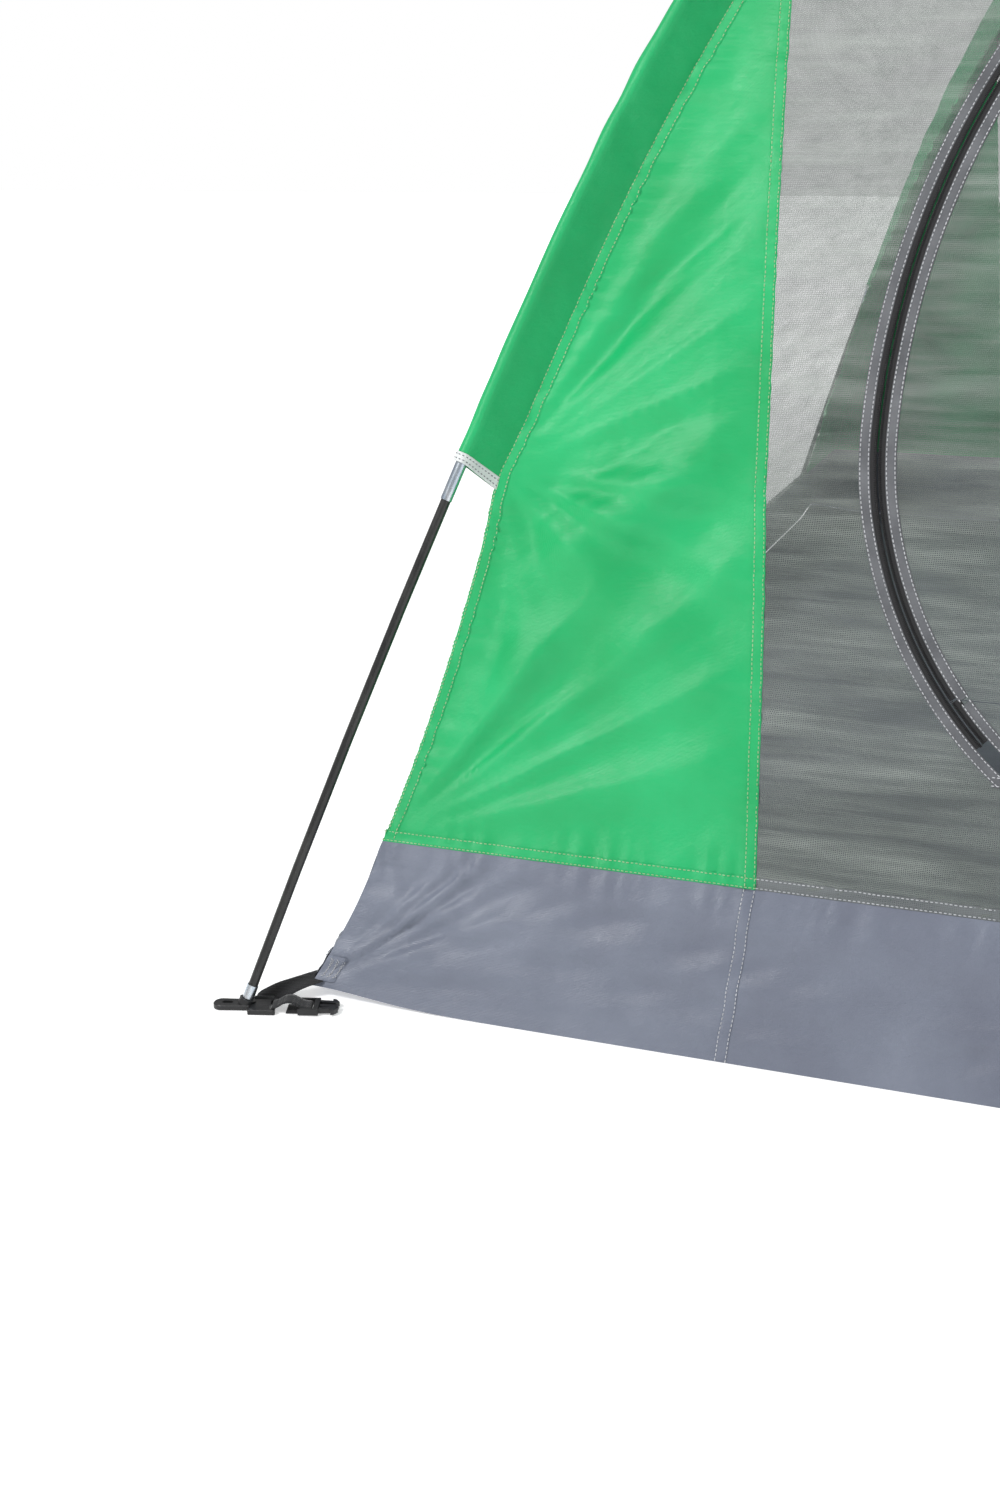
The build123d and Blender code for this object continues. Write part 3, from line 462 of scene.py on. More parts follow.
def grid_object(name, grid, material, body, uv=None, closed=False):
    """An object from a grid of points."""
    return mesh_object(name, grid.reshape(-1, 3), grid_faces(*grid.shape[:2], closed), material,
                       body, uv)


def panel(wall, node, x, q, material, body="tent_body", closed=False):
    """A cut piece of cloth over a grid of chart places, in place of its CAD part."""
    points = wall.place(x, q)
    uv = np.column_stack([x.ravel(), q.ravel()])
    made = grid_object(node + "_cloth", points, material, body, uv, closed)
    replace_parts(made, node)


def spread(low, high, spacing):
    """Evenly spaced values, at least two."""
    return np.linspace(low, high, max(2, int(math.ceil((high - low) / spacing)) + 1))


def level_path(x, q):
    """Chart path at one height."""
    return np.column_stack([x, np.full(len(x), q)])


def resample(path, spacing):
    """Points at equal distances along a chart path, and the unit direction at each."""
    length = distances(path)
    at = spread(0, length[-1], spacing)
    points = points_at(at, length, path)
    return points, unit(np.gradient(points, axis=0)), at


def beside_path(points, ahead, offset):
    """Chart places at offsets to the left of a path."""
    left = np.column_stack([-ahead[:, 1], ahead[:, 0]])
    return points[:, None, :] + left[:, None, :] * np.asarray(offset)[None, :, None]


BAND = ((-0.5, -0.0002), (-0.49, 0.6), (-0.42, 0.95), (-0.15, 1.0), (0.15, 1.0), (0.42, 0.95),
        (0.49, 0.6), (0.5, -0.0002))


def band(name, wall, path, width, material, body="tent_body", lift=HEM_LIFT,
         nodes=(), spacing=0.006, under=False, base=0.0):
    """A strip of cloth along a chart path, with turned edges that meet the wall."""
    points, ahead, at = resample(np.asarray(path, float), spacing)
    offsets = np.array([o for o, _ in BAND]) * width
    heights = base + np.array([h for _, h in BAND]) * lift * (-1 if under else 1)
    places = beside_path(points, ahead, offsets)
    heights = heights[None, :] * (1 + 0.12 * wave(at, 0.019, width * 900))[:, None]
    grid = wall.place(places[..., 0], places[..., 1], heights)
    uv = np.column_stack([np.repeat(at, len(offsets)), np.tile(offsets, len(at))])
    made = grid_object(name, grid, material, body, uv)
    if nodes:
        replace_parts(made, *nodes)
    return made


def beads(centres, ahead, up, length, width, height):
    """Small rounded beads, such as stitches or zipper teeth: points and triangles."""
    side = unit(np.cross(ahead, up))
    points = [centres - ahead * length / 2, centres + ahead * length / 2]
    for end in (-0.3, 0.3):
        middle = centres + ahead * length * end
        points += [middle + side * width / 2, middle + up * height,
                   middle - side * width / 2, middle - up * height * 0.4]
    block = np.stack(points, axis=1)
    faces = []
    for k in range(4):
        low, high = 2 + k, 2 + (k + 1) % 4
        faces += [(0, high, low), (1, low + 4, high + 4), (low, high, high + 4),
                  (low, high + 4, low + 4)]
    faces = np.array(faces)
    offset = np.arange(len(centres))[:, None, None] * block.shape[1]
    return block.reshape(-1, 3), (faces[None] + offset).reshape(-1, 3)


class Thread:
    """Gathers the stitches of one thread colour into one piece."""

    def __init__(self, name, material, body="tent_body"):
        self.name, self.material, self.body = name, material, body
        self.points, self.faces, self.count = [], [], 0

    def add(self, points, faces):
        self.points.append(points)
        self.faces.append(faces + self.count)
        self.count += len(points)

    def row(self, wall, path, offset, lift, pitch=STITCH_PITCH, length=STITCH_LENGTH):
        """A row of stitches beside a chart path."""
        points, ahead, _ = resample(np.asarray(path, float), pitch)
        places = beside_path(points, ahead, np.array([offset]))[:, 0]
        ends = [places + ahead * length * share for share in (-0.5, 0.5)]
        lift = lift + THREAD / 3
        first, last = (wall.place(e[:, 0], e[:, 1], lift) for e in ends)
        above = wall.place(places[:, 0], places[:, 1], lift + 0.001)
        middle = (first + last) / 2
        self.add(*beads(middle, unit(last - first), unit(above - middle), length,
                        THREAD * 1.6, THREAD))

    def pair(self, wall, path, apart=HEM_STITCHES):
        """Two rows along a hem or seam."""
        for offset in (-apart, apart):
            self.row(wall, path, offset, HEM_LIFT)

    def make(self):
        mesh_object(self.name, np.vstack(self.points), np.vstack(self.faces), self.material,
                    self.body)


# --- Materials -----------------------------------------------------------------------------


class Nodes:
    """A material's node tree, with short calls for the nodes used here."""

    def __init__(self, name):
        self.material = bpy.data.materials.new(name)
        self.material.use_nodes = True
        self.tree = self.material.node_tree
        self.shader = self.tree.nodes["Principled BSDF"]
        self.place = self.node("ShaderNodeTexCoord").outputs["Object"]

    def node(self, kind, **values):
        made = self.tree.nodes.new(kind)
        for key, value in values.items():
            setattr(made, key, value)
        return made

    def link(self, source, target):
        self.tree.links.new(source, target)

    def noise(self, scale, detail=3.0, roughness=0.55, stretch=None, turn=None):
        made = self.node("ShaderNodeTexNoise")
        made.inputs["Scale"].default_value = scale
        made.inputs["Detail"].default_value = detail
        made.inputs["Roughness"].default_value = roughness
        source = self.place
        if stretch:
            mapping = self.node("ShaderNodeMapping")
            mapping.inputs["Scale"].default_value = stretch
            mapping.inputs["Rotation"].default_value = turn or (0, 0, 0)
            self.link(self.place, mapping.inputs["Vector"])
            source = mapping.outputs["Vector"]
        self.link(source, made.inputs["Vector"])
        return made.outputs["Fac"]

    def maths(self, kind, a, b=None):
        """One arithmetic node on sockets or numbers."""
        made = self.node("ShaderNodeMath", operation=kind)
        for socket, value in zip(made.inputs, (a, b)):
            if value is None:
                continue
            if isinstance(value, (int, float)):
                socket.default_value = value
            else:
                self.link(value, socket)
        return made.outputs[0]

    def between(self, value, low, high, start=0.25, end=0.75):
        made = self.node("ShaderNodeMapRange")
        for key, number in (("From Min", start), ("From Max", end), ("To Min", low),
                            ("To Max", high)):
            made.inputs[key].default_value = number
        self.link(value, made.inputs["Value"])
        return made.outputs["Result"]

    def ramp(self, value, stops):
        made = self.node("ShaderNodeValToRGB")
        elements = made.color_ramp.elements
        while len(elements) < len(stops):
            elements.new(0.5)
        for element, (at, colour) in zip(elements, stops):
            element.position, element.color = at, (*colour, 1)
        self.link(value, made.inputs["Fac"])
        return made.outputs["Color"]

    def weave(self, pitch, level=False):
        """Threads over and under each other, 0 in the holes and 1 on the threads."""
        parts = self.node("ShaderNodeSeparateXYZ")
        self.link(self.place, parts.inputs[0])
        x, y, z = parts.outputs
        across = self.maths("ADD", x, y)
        up = self.maths("SUBTRACT", x, y) if level else z
        turn = 2 * math.pi / pitch
        warp = self.maths("ABSOLUTE", self.maths("SINE", self.maths("MULTIPLY", across, turn / 2)))
        weft = self.maths("ABSOLUTE", self.maths("SINE", self.maths("MULTIPLY", up, turn / 2)))
        return self.maths("MAXIMUM", warp, weft)

    def bump(self, height, strength, distance, under=None):
        made = self.node("ShaderNodeBump")
        made.inputs["Strength"].default_value = strength
        made.inputs["Distance"].default_value = distance
        self.link(height, made.inputs["Height"])
        if under is not None:
            self.link(under, made.inputs["Normal"])
        return made.outputs["Normal"]

    def finish(self, colour, rough, normal, **constants):
        self.link(colour, self.shader.inputs["Base Color"])
        self.link(rough, self.shader.inputs["Roughness"])
        self.link(normal, self.shader.inputs["Normal"])
        for key, value in constants.items():
            self.shader.inputs[key.replace("_", " ")].default_value = value
        return self.material


def linear(*rgb):
    """Linear colour of sRGB values from 0 to 255."""
    parts = [c / 255 for c in rgb]
    return tuple(c / 12.92 if c <= 0.04045 else ((c + 0.055) / 1.055) ** 2.4 for c in parts)


def cloth(name, shades, pitch, rough=(0.45, 0.6), crinkle=0.35, level=False, sheen=0.15,
          thread_bump=0.5, cloud=7.0):
    """Woven fabric: cloudy shades, a fine weave and small crinkles."""
    n = Nodes(name)
    stops = [(0.32 + 0.36 * i / (len(shades) - 1), linear(*s)) for i, s in enumerate(shades)]
    colour = n.ramp(n.noise(cloud, 4.0), stops)
    roughness = n.between(n.noise(60.0, 3.0), *rough)
    weave = n.weave(pitch, level)
    small = n.bump(weave, thread_bump, pitch * 0.35)
    creases = n.bump(n.noise(34.0, 5.0, 0.62, (1, 1, 1.8)), crinkle, 0.004, small)
    return n.finish(colour, roughness, creases, Sheen_Weight=sheen, Sheen_Roughness=0.4)


# Slant of the mesh's streaks, which carry its painted sheen and its changes of cover.
STREAK_TURN = (0.0, 0.62, 0.35)


def netting(name, shades, pitch, holes=(0.30, 0.74)):
    """See-through knitted mesh: threads that hide what is behind, with open holes, and lighter
    slanted streaks of painted sheen.
    """
    n = Nodes(name)
    stops = [(0.30 + 0.4 * i / (len(shades) - 1), linear(*s)) for i, s in enumerate(shades)]
    # Stretched slanted noise sets both how much the mesh hides and its colour; the lighter streaks
    # in the colour are painted sheen along the mesh's folds.
    streak_cover_and_painted_sheen = n.noise(9.0, 3.0, 0.6, stretch=(0.5, 0.5, 5.0), turn=STREAK_TURN)
    fine_cover_and_painted_sheen = n.noise(34.0, 2.0, 0.5, stretch=(0.3, 0.3, 4.0), turn=STREAK_TURN)
    # Mix of the two that colours the mesh: painted sheen, lighter along the streaks.
    both = n.maths("ADD", n.maths("MULTIPLY", streak_cover_and_painted_sheen, 0.65), n.maths("MULTIPLY", fine_cover_and_painted_sheen, 0.35))
    colour = n.ramp(both, stops)
    roughness = n.between(n.noise(80.0, 2.0), 0.6, 0.8)
    weave = n.weave(pitch)
    cover = n.between(n.maths("MULTIPLY", weave, weave), *holes, start=0.45, end=1.0)
    doubled = n.maths("MULTIPLY", n.between(streak_cover_and_painted_sheen, 0.78, 1.16), n.between(fine_cover_and_painted_sheen, 0.92, 1.08))
    n.link(n.maths("MINIMUM", n.maths("MULTIPLY", cover, doubled), 1.0), n.shader.inputs["Alpha"])
    return n.finish(colour, roughness, n.bump(weave, 0.4, pitch * 0.3),
                    Sheen_Weight=0.3, Sheen_Roughness=0.5)


def solid(name, shades, rough, metallic=0.0, grain=400.0, grain_strength=0.15, stretch=None,
          cloud=40.0):
    """Moulded plastic, painted rod or metal with fine surface grain."""
    n = Nodes(name)
    stops = [(0.35 + 0.3 * i / (len(shades) - 1), linear(*s)) for i, s in enumerate(shades)]
    colour = n.ramp(n.noise(cloud, 3.0, stretch=stretch), stops)
    roughness = n.between(n.noise(grain / 3, 3.0, stretch=stretch), *rough)
    height = n.noise(grain, 2.0, stretch=stretch)
    return n.finish(colour, roughness, n.bump(height, grain_strength, 0.0006),
                    Metallic=metallic)


green = cloth("green_taffeta", [(3, 160, 88), (7, 168, 96), (13, 176, 104)], 0.0011,
              rough=(0.32, 0.44), crinkle=0.30, sheen=0.02)
# Same green taffeta as the panels, a shade darker: painted shade on the sleeves.
sleeve_green_painted_shade = cloth("green_sleeve_painted_shade", [(2, 152, 84), (5, 162, 93), (10, 170, 100)], 0.0011,
                     rough=(0.32, 0.44), crinkle=0.34, sheen=0.02)
tub_grey = cloth("tub_coated_fabric", [(104, 109, 124), (111, 117, 132), (119, 125, 140)],
                 0.0013, rough=(0.30, 0.42), crinkle=0.40, sheen=0.03)
floor_grey = cloth("floor_coated_fabric", [(104, 109, 121), (116, 121, 134), (128, 133, 146)],
                   0.0013, rough=(0.45, 0.6), crinkle=0.6, level=True)
mesh_grey = netting("grey_netting", [(92, 98, 97), (118, 125, 121), (146, 153, 148)], 0.0016)
mesh_hem = netting("grey_netting_hem", [(96, 101, 103), (110, 115, 117)], 0.0016, (0.7, 1.0))
tape_grey = cloth("grey_binding", [(80, 82, 86), (94, 96, 100), (106, 108, 112)], 0.0012,
                  rough=(0.6, 0.75), crinkle=0.25, cloud=30.0, thread_bump=0.8)
tape_pale = cloth("pale_binding", [(196, 202, 203), (212, 217, 217), (224, 228, 228)], 0.0012,
                  rough=(0.6, 0.75), crinkle=0.25, cloud=30.0, thread_bump=0.8)
webbing = cloth("black_webbing", [(20, 20, 22), (30, 30, 33), (38, 38, 41)], 0.0019,
                rough=(0.6, 0.8), crinkle=0.2, cloud=60.0, thread_bump=1.0, sheen=0.3)
zip_tape = cloth("black_zipper_tape", [(22, 22, 24), (32, 32, 34)], 0.0010,
                 rough=(0.65, 0.8), crinkle=0.15, cloud=60.0, thread_bump=0.9)
coil_black = solid("black_zipper_coil", [(16, 16, 18), (28, 28, 31)], (0.3, 0.45))
plastic = solid("black_moulded_plastic", [(18, 18, 20), (26, 26, 28), (34, 34, 36)],
                (0.35, 0.5), grain=900.0, grain_strength=0.25)
rod_black = solid("black_fibreglass_rod", [(22, 22, 23), (34, 34, 34), (44, 44, 43)],
                  (0.22, 0.36), grain=700.0, grain_strength=0.2, stretch=(1, 1, 0.12))
steel = solid("zinc_steel_tube", [(150, 165, 188), (188, 198, 208), (214, 216, 220)],
              (0.2, 0.34), metallic=1.0, stretch=(1, 1, 0.1), cloud=90.0)
dark_metal = solid("black_coated_zinc", [(30, 30, 33), (48, 48, 52)], (0.3, 0.42),
                   metallic=0.8)
elastic = cloth("braided_shock_cord", [(28, 28, 30), (44, 44, 48)], 0.0009, cloud=90.0)
thread_tan = solid("pale_tan_thread", [(150, 186, 136), (176, 200, 156)], (0.5, 0.65))
thread_grey = solid("pale_grey_thread", [(186, 188, 192), (212, 213, 217)], (0.5, 0.65))
thread_dark = solid("grey_thread", [(110, 112, 116), (140, 141, 146)], (0.5, 0.65))

tan = Thread("stitches_green_panels", thread_tan)
pale = Thread("stitches_tub_and_mesh", thread_grey)
dark = Thread("stitches_sleeve_bindings", thread_dark)
flap_thread = Thread("stitches_door_flap", thread_grey, "door_flap")


# --- Panels, seams and hems of the four walls ----------------------------------------------


def top_of_panel(wall):
    """Chart height where a panel's seam meets the fabric's corner."""
    q = np.linspace(0, wall.top, 4000)
    return q[np.argmax(wall.edge(q) - wall.seam(q) < 0.004)]


def corner_piece(wall, sign, name, spacing):
    """Solid panel in one corner of a wall, with its seam, its lower hem and its corner seam."""
    high = top_of_panel(wall)
    q = spread(0, high, spacing)
    count = int(PANEL_WIDTH / spacing)
    t = np.linspace(0, 1, count + 1)
    near_side, far_side = wall.seam(q) + SEAM_HALF, wall.edge(q)
    x = sign * (near_side[:, None] + (far_side - near_side)[:, None] * t)
    panel(wall, name, x, np.repeat(q[:, None], count + 1, axis=1), green)
    seam_q = spread(0.004, high, PATH_STEP)
    seam_path = np.column_stack([sign * (wall.seam(seam_q) + HEM_WIDTH / 2), seam_q])
    band(name + "_seam", wall, seam_path, HEM_WIDTH, green)
    tan.pair(wall, seam_path)
    hem_x = spread(wall.seam(0.0) + CLEAR, wall.edge(0.0) - CLEAR, PATH_STEP)
    hem_path = level_path(sign * hem_x, HEM_WIDTH / 2)
    band(name + "_hem", wall, hem_path, HEM_WIDTH, green)
    tan.pair(wall, hem_path)
    edge_q = spread(0.006, wall.top * 0.93, PATH_STEP)
    edge_path = np.column_stack([sign * (wall.edge(edge_q) - HEM_WIDTH / 2), edge_q])
    band(name + "_corner_seam", wall, edge_path, HEM_WIDTH, green)
    tan.pair(wall, edge_path)


def mesh_hem_along_tub(wall, name):
    """Sewn lower edge of a wall's mesh, over the top of the tub."""
    x = spread(-wall.seam(0.0) + CLEAR, wall.seam(0.0) - CLEAR, PATH_STEP)
    path = level_path(x, HEM_WIDTH / 2)
    band(name, wall, path, HEM_WIDTH, mesh_hem, spacing=PATH_STEP)
    pale.pair(wall, path)


def tub_piece(wall, name, spacing):
    """One wall of the bathtub floor, with its upright seams on the front and rear."""
    q = spread(wall.ground, 0, 0.006)
    t = np.linspace(-1, 1, int(2 * wall.edge(0.0) / spacing))
    t = np.sign(t) * (1 - (1 - np.abs(t)) ** 1.25)
    x = wall.edge(q)[:, None] * t
    panel(wall, name, x, np.repeat(q[:, None], len(t), axis=1), tub_grey)
    if wall.side in ("front", "rear"):
        seam_x = wall.seam(0.0) + 0.006
        for sign in (-1, 1):
            q = spread(wall.ground + 2 * CLEAR, -2 * CLEAR, PATH_STEP)
            path = np.column_stack([sign * (seam_x - 0.06 * (q - q[-1])), q])
            tag = "left" if sign < 0 else "right"
            band(f"{name}_seam_{tag}", wall, path, HEM_WIDTH, tub_grey)
            pale.pair(wall, path, TUB_STITCHES)


def middle_rows(wall, low, high, spacing, count):
    """Chart grid of the middle of a wall, between its two seams and under the crown."""
    q = spread(low, high, spacing)
    half = np.minimum(wall.seam(q) - SEAM_HALF, wall.edge(q))
    t = np.linspace(-1, 1, count)
    return half[:, None] * t, np.repeat(q[:, None], count, axis=1)


corner_names = {
    "front": {-1: "front_wall_left_panel", 1: "front_wall_right_panel"},
    "rear": {-1: "rear_wall_left_panel", 1: "rear_wall_right_panel"},
    "left": {-1: "left_wall_front_panel", 1: "left_wall_rear_panel"},
    "right": {-1: "right_wall_front_panel", 1: "right_wall_rear_panel"},
}
for side, wall in walls.items():
    for sign, name in corner_names[side].items():
        corner_piece(wall, sign, name, FINE if name == "front_wall_left_panel" else MEDIUM)
    tub_piece(wall, f"tub_{side}_wall", 0.006 if side == "front" else MEDIUM)

for side in ("left", "right"):
    wall = walls[side]
    x, q = middle_rows(wall, 0, wall.top, COARSE, 130)
    panel(wall, f"{side}_wall_mesh", x, q, mesh_grey)
    mesh_hem_along_tub(wall, f"{side}_wall_mesh_hem")

rear = walls["rear"]
rear_q = rear.q_at(REAR_PANEL_TOP)
x, q = middle_rows(rear, 0, rear_q - SEAM_HALF, MEDIUM, 220)
panel(rear, "rear_wall_lower_panel", x, q, green)
x, q = middle_rows(rear, rear_q + SEAM_HALF, rear.top, COARSE, 130)
panel(rear, "rear_wall_mesh", x, q, mesh_grey)
for name, at, reach in (("rear_wall_hem", HEM_WIDTH / 2, 0.0),
                        ("rear_wall_panel_seam", rear_q - HEM_WIDTH / 2, rear_q)):
    line = spread(-rear.seam(reach) + CLEAR, rear.seam(reach) - CLEAR, PATH_STEP)
    path = level_path(line, at)
    band(name, rear, path, HEM_WIDTH, green, spacing=PATH_STEP)
    tan.pair(rear, path)


# --- Front wall's mesh and the door --------------------------------------------------------

front = walls["front"]
SIN = front.sin
SILL = (DOOR_SILL - DOOR_HEIGHT) / SIN
ZIP_END = (ZIPPER_END - DOOR_HEIGHT) / SIN
SHIFT = DOOR_TOP_RADIUS - DOOR_SIDE_RADIUS
FOLD_ANGLE = math.asin(-ZIP_END / DOOR_SIDE_RADIUS) - ZIPPER_TAIL / DOOR_SIDE_RADIUS
FOLD = -DOOR_SIDE_RADIUS * math.sin(FOLD_ANGLE)


def arch(inset, bottom, count=600, square=False):
    """Chart path of the door's outline moved in by an inset, from lower left round to right.

    It ends at a height, or cut square across where the zipper's middle has that height.
    """
    upper, lower = DOOR_TOP_RADIUS - inset, DOOR_SIDE_RADIUS - inset
    reach = math.asin(-bottom / (DOOR_SIDE_RADIUS if square else lower))
    quarter = np.linspace(reach, 0, count // 4)
    side = np.column_stack([-SHIFT - lower * np.cos(quarter), -lower * np.sin(quarter)])
    turn = np.linspace(math.pi, 0, count)[1:-1]
    crown = np.column_stack([upper * np.cos(turn), upper * np.sin(turn)])
    path = np.vstack([side, crown, side[::-1] * (-1, 1)])
    return np.column_stack([path[:, 0] + DOOR_X, front.q_of(path[:, 1])])


def door_half(up, inset):
    """Half-width of the door at distances up its plane."""
    upper, lower = DOOR_TOP_RADIUS - inset, DOOR_SIDE_RADIUS - inset
    above = np.sqrt(np.maximum(upper ** 2 - up ** 2, 0))
    below = SHIFT + np.sqrt(np.maximum(lower ** 2 - up ** 2, 0))
    return np.where(up > 0, above, below)


def door_rows(low, high, inset, rows, columns):
    """Chart grid inside the door between two heights up its plane."""
    angle = np.linspace(0, 1, rows)
    up = low + (high - low) * np.sin(angle * math.pi / 2)
    t = np.linspace(-1, 1, columns)
    x = DOOR_X + door_half(up, inset)[:, None] * t
    return x, np.repeat(front.q_of(up)[:, None], columns, axis=1)


def wall_outline(inner):
    """Outer edge of the front wall's mesh, one point for each point of the inner path."""
    q = spread(0, front.top, 0.004)
    half = np.minimum(front.seam(q) - SEAM_HALF, front.edge(q))
    low = spread(-half[0], half[0], 0.004)
    loop = np.vstack([np.column_stack([low, np.zeros(len(low))]), np.column_stack([half, q]),
                      np.column_stack([-half, q])[::-1]])
    centre = np.array([DOOR_X, front.q_of(0.0)])
    turn = np.arctan2(*(loop - centre).T[::-1])
    order = np.argsort(turn)
    turn, away = turn[order], np.hypot(*(loop - centre).T)[order]
    turn, away = (np.concatenate([turn[-1:] - 2 * math.pi, turn, turn[:1] + 2 * math.pi]),
                  np.concatenate([away[-1:], away, away[:1]]))
    angle = np.arctan2(*(inner - centre).T[::-1])
    reach = np.interp(angle, turn, away)
    return centre + np.column_stack([np.cos(angle), np.sin(angle)]) * reach[:, None]


UNDER = TAPE_HALF + 2 * SEAM_HALF
opening = arch(-UNDER, SILL)
sill_line = np.linspace(opening[-1], opening[0], 200)[1:-1]
opening = np.vstack([opening, sill_line])
opening, _, _ = resample(np.vstack([opening, opening[:1]]), 0.0075)
opening = opening[:-1]
outline = wall_outline(opening)
steps = np.linspace(0, 1, 44)[:, None, None]
ring = opening[None] + (outline - opening)[None] * steps
panel(front, "front_wall_mesh", ring[..., 0], ring[..., 1], mesh_grey, closed=True)
mesh_hem_along_tub(front, "front_wall_mesh_hem")

x, q = door_rows(FOLD + FOLD_GAP / 2, DOOR_TOP_RADIUS - UNDER - 0.0004, UNDER, 110, 150)
panel(front, "door_flap_mesh", x, q, mesh_grey, "door_flap")
x, q = door_rows(SILL + 2 * SEAM_HALF, FOLD - FOLD_GAP / 2, UNDER, 12, 150)
panel(front, "door_sill_mesh", x, q, mesh_grey)


def split(path, high):
    """The two ends of an arch path below a chart height, left then right."""
    half = len(path) // 2
    return [end[end[:, 1] < high] for end in (path[:half], path[half:][::-1])]


def upper_part(path, low):
    return path[path[:, 1] > low]


RUN_TOP = front.q_of(-0.04)


def zipper_side(tag, sign, body, paths, nodes=()):
    """Tapes and coil teeth on one side of the zipper, along paths given by their inset."""
    teeth, count = [], 0
    for index, path in enumerate(paths):
        tape = band(f"zipper_band_{tag}_{index}", front,
                    path(sign * (TAPE_HALF + SLIT_HALF) / 2), TAPE_HALF - SLIT_HALF,
                    zip_tape, body, lift=TAPE_LIFT, spacing=0.005)
        if nodes and index == 0:
            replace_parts(tape, nodes[0])
        points, ahead, _ = resample(path(sign * COIL_HALF / 2), TOOTH_PITCH)
        across = np.column_stack([-ahead[:, 1], ahead[:, 0]])
        below = np.clip((RUN_TOP - points[:, 1]) / 0.02, 0, 1) * (points[:, 0] > DOOR_X)
        slit = (SLIT_HALF * below)[:, None]
        places = points + ahead * (TOOTH_PITCH / 4 * sign) - across * sign * slit / 2
        across = across * (COIL_HALF - slit) / 2
        first, last = (front.place(*(places + side).T, TOOTH_LIFT) for side in (-across, across))
        middle = (first + last) / 2
        up = front.place(*places.T, TOOTH_LIFT + 0.001) - middle
        points, faces = beads(middle, unit(last - first), unit(up), COIL_HALF - slit,
                              TOOTH_WIDTH, TOOTH_HEIGHT)
        teeth.append((points, faces + count))
        count += len(points)
    points, faces = (np.vstack(part) for part in zip(*teeth))
    made = mesh_object(f"zipper_teeth_{tag}", points, faces, coil_black, body)
    if nodes:
        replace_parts(made, nodes[1])


fold_low, fold_high = front.q_of(FOLD - FOLD_GAP / 2), front.q_of(FOLD + FOLD_GAP / 2)


def tail(index, bottom=ZIP_END):
    """Path of the sewn end on one side, as a function of its inset."""
    square = bottom == ZIP_END
    return lambda inset: split(arch(inset, bottom, square=square), fold_low)[index]


zipper_side("frame_side", -1, "tent_body", [lambda inset: arch(inset, ZIP_END, square=True)],
            ("zipper_tape_frame_side", "zipper_coil_frame_side"))
zipper_side("flap_side", 1, "door_flap",
            [lambda inset: upper_part(arch(inset, ZIP_END), fold_high)],
            ("zipper_tape_flap_side", "zipper_coil_flap_side"))
zipper_side("sewn_end", 1, "tent_body", [tail(0), tail(1)])


def binding(name, path, body, thread, nodes=()):
    """Grey tape with a row of stitches near each edge, outside and inside the wall."""
    band(name, front, path, BINDING_WIDTH, tape_grey, body, base=BINDING_BASE,
         nodes=nodes)
    band(name + "_inside", front, path, BINDING_WIDTH, tape_grey, body,
         base=-BINDING_BASE, under=True, spacing=PATH_STEP)
    for offset in (-BINDING_STITCHES, BINDING_STITCHES):
        thread.row(front, path, offset, HEM_LIFT + BINDING_BASE)


binding("door_frame_binding", arch(-BINDING_CENTRE, SILL), "tent_body", pale,
        ["door_binding_frame_side"])
sill_half = door_half(np.array([SILL]), -BINDING_CENTRE)[0] + BINDING_WIDTH / 2
sill_x = spread(-sill_half, sill_half, PATH_STEP)
binding("door_sill_binding", level_path(DOOR_X + sill_x, front.q_of(SILL)), "tent_body", pale)
binding("door_flap_binding", upper_part(arch(BINDING_CENTRE, ZIP_END), fold_high), "door_flap",
        flap_thread, ["door_binding_flap_side"])
for index, tag in enumerate(("left", "right")):
    binding(f"door_sewn_end_binding_{tag}", tail(index, SILL)(BINDING_CENTRE), "tent_body",
            pale)


# --- Sleeves -------------------------------------------------------------------------------

corner_signs = {"front_left": (-1, -1), "rear_right": (1, 1), "rear_left": (-1, 1),
                "front_right": (1, -1)}
pole_of = {"front_left": LOWER, "rear_right": LOWER, "rear_left": UPPER, "front_right": UPPER}


def sleeve_outline(depth):
    """Sleeve's section from one side of the seam, round the pole, to the other side.

    Columns: how far down towards the fabric, and how far out to the side.
    """
    slope = math.acos(min(1, (SLEEVE_RADIUS - SLEEVE_SEAT) / depth))
    turn = np.linspace(-slope, slope, 25)
    tube = SLEEVE_RADIUS * np.column_stack([-np.cos(turn), np.sin(turn)])
    t = np.linspace(0, 1, 9)[:-1, None]
    seat = np.array([[depth, -SLEEVE_SEAT]])
    start = seat + (tube[:1] - seat) * t
    return np.vstack([start, tube, (start * (1, -1))[::-1]])


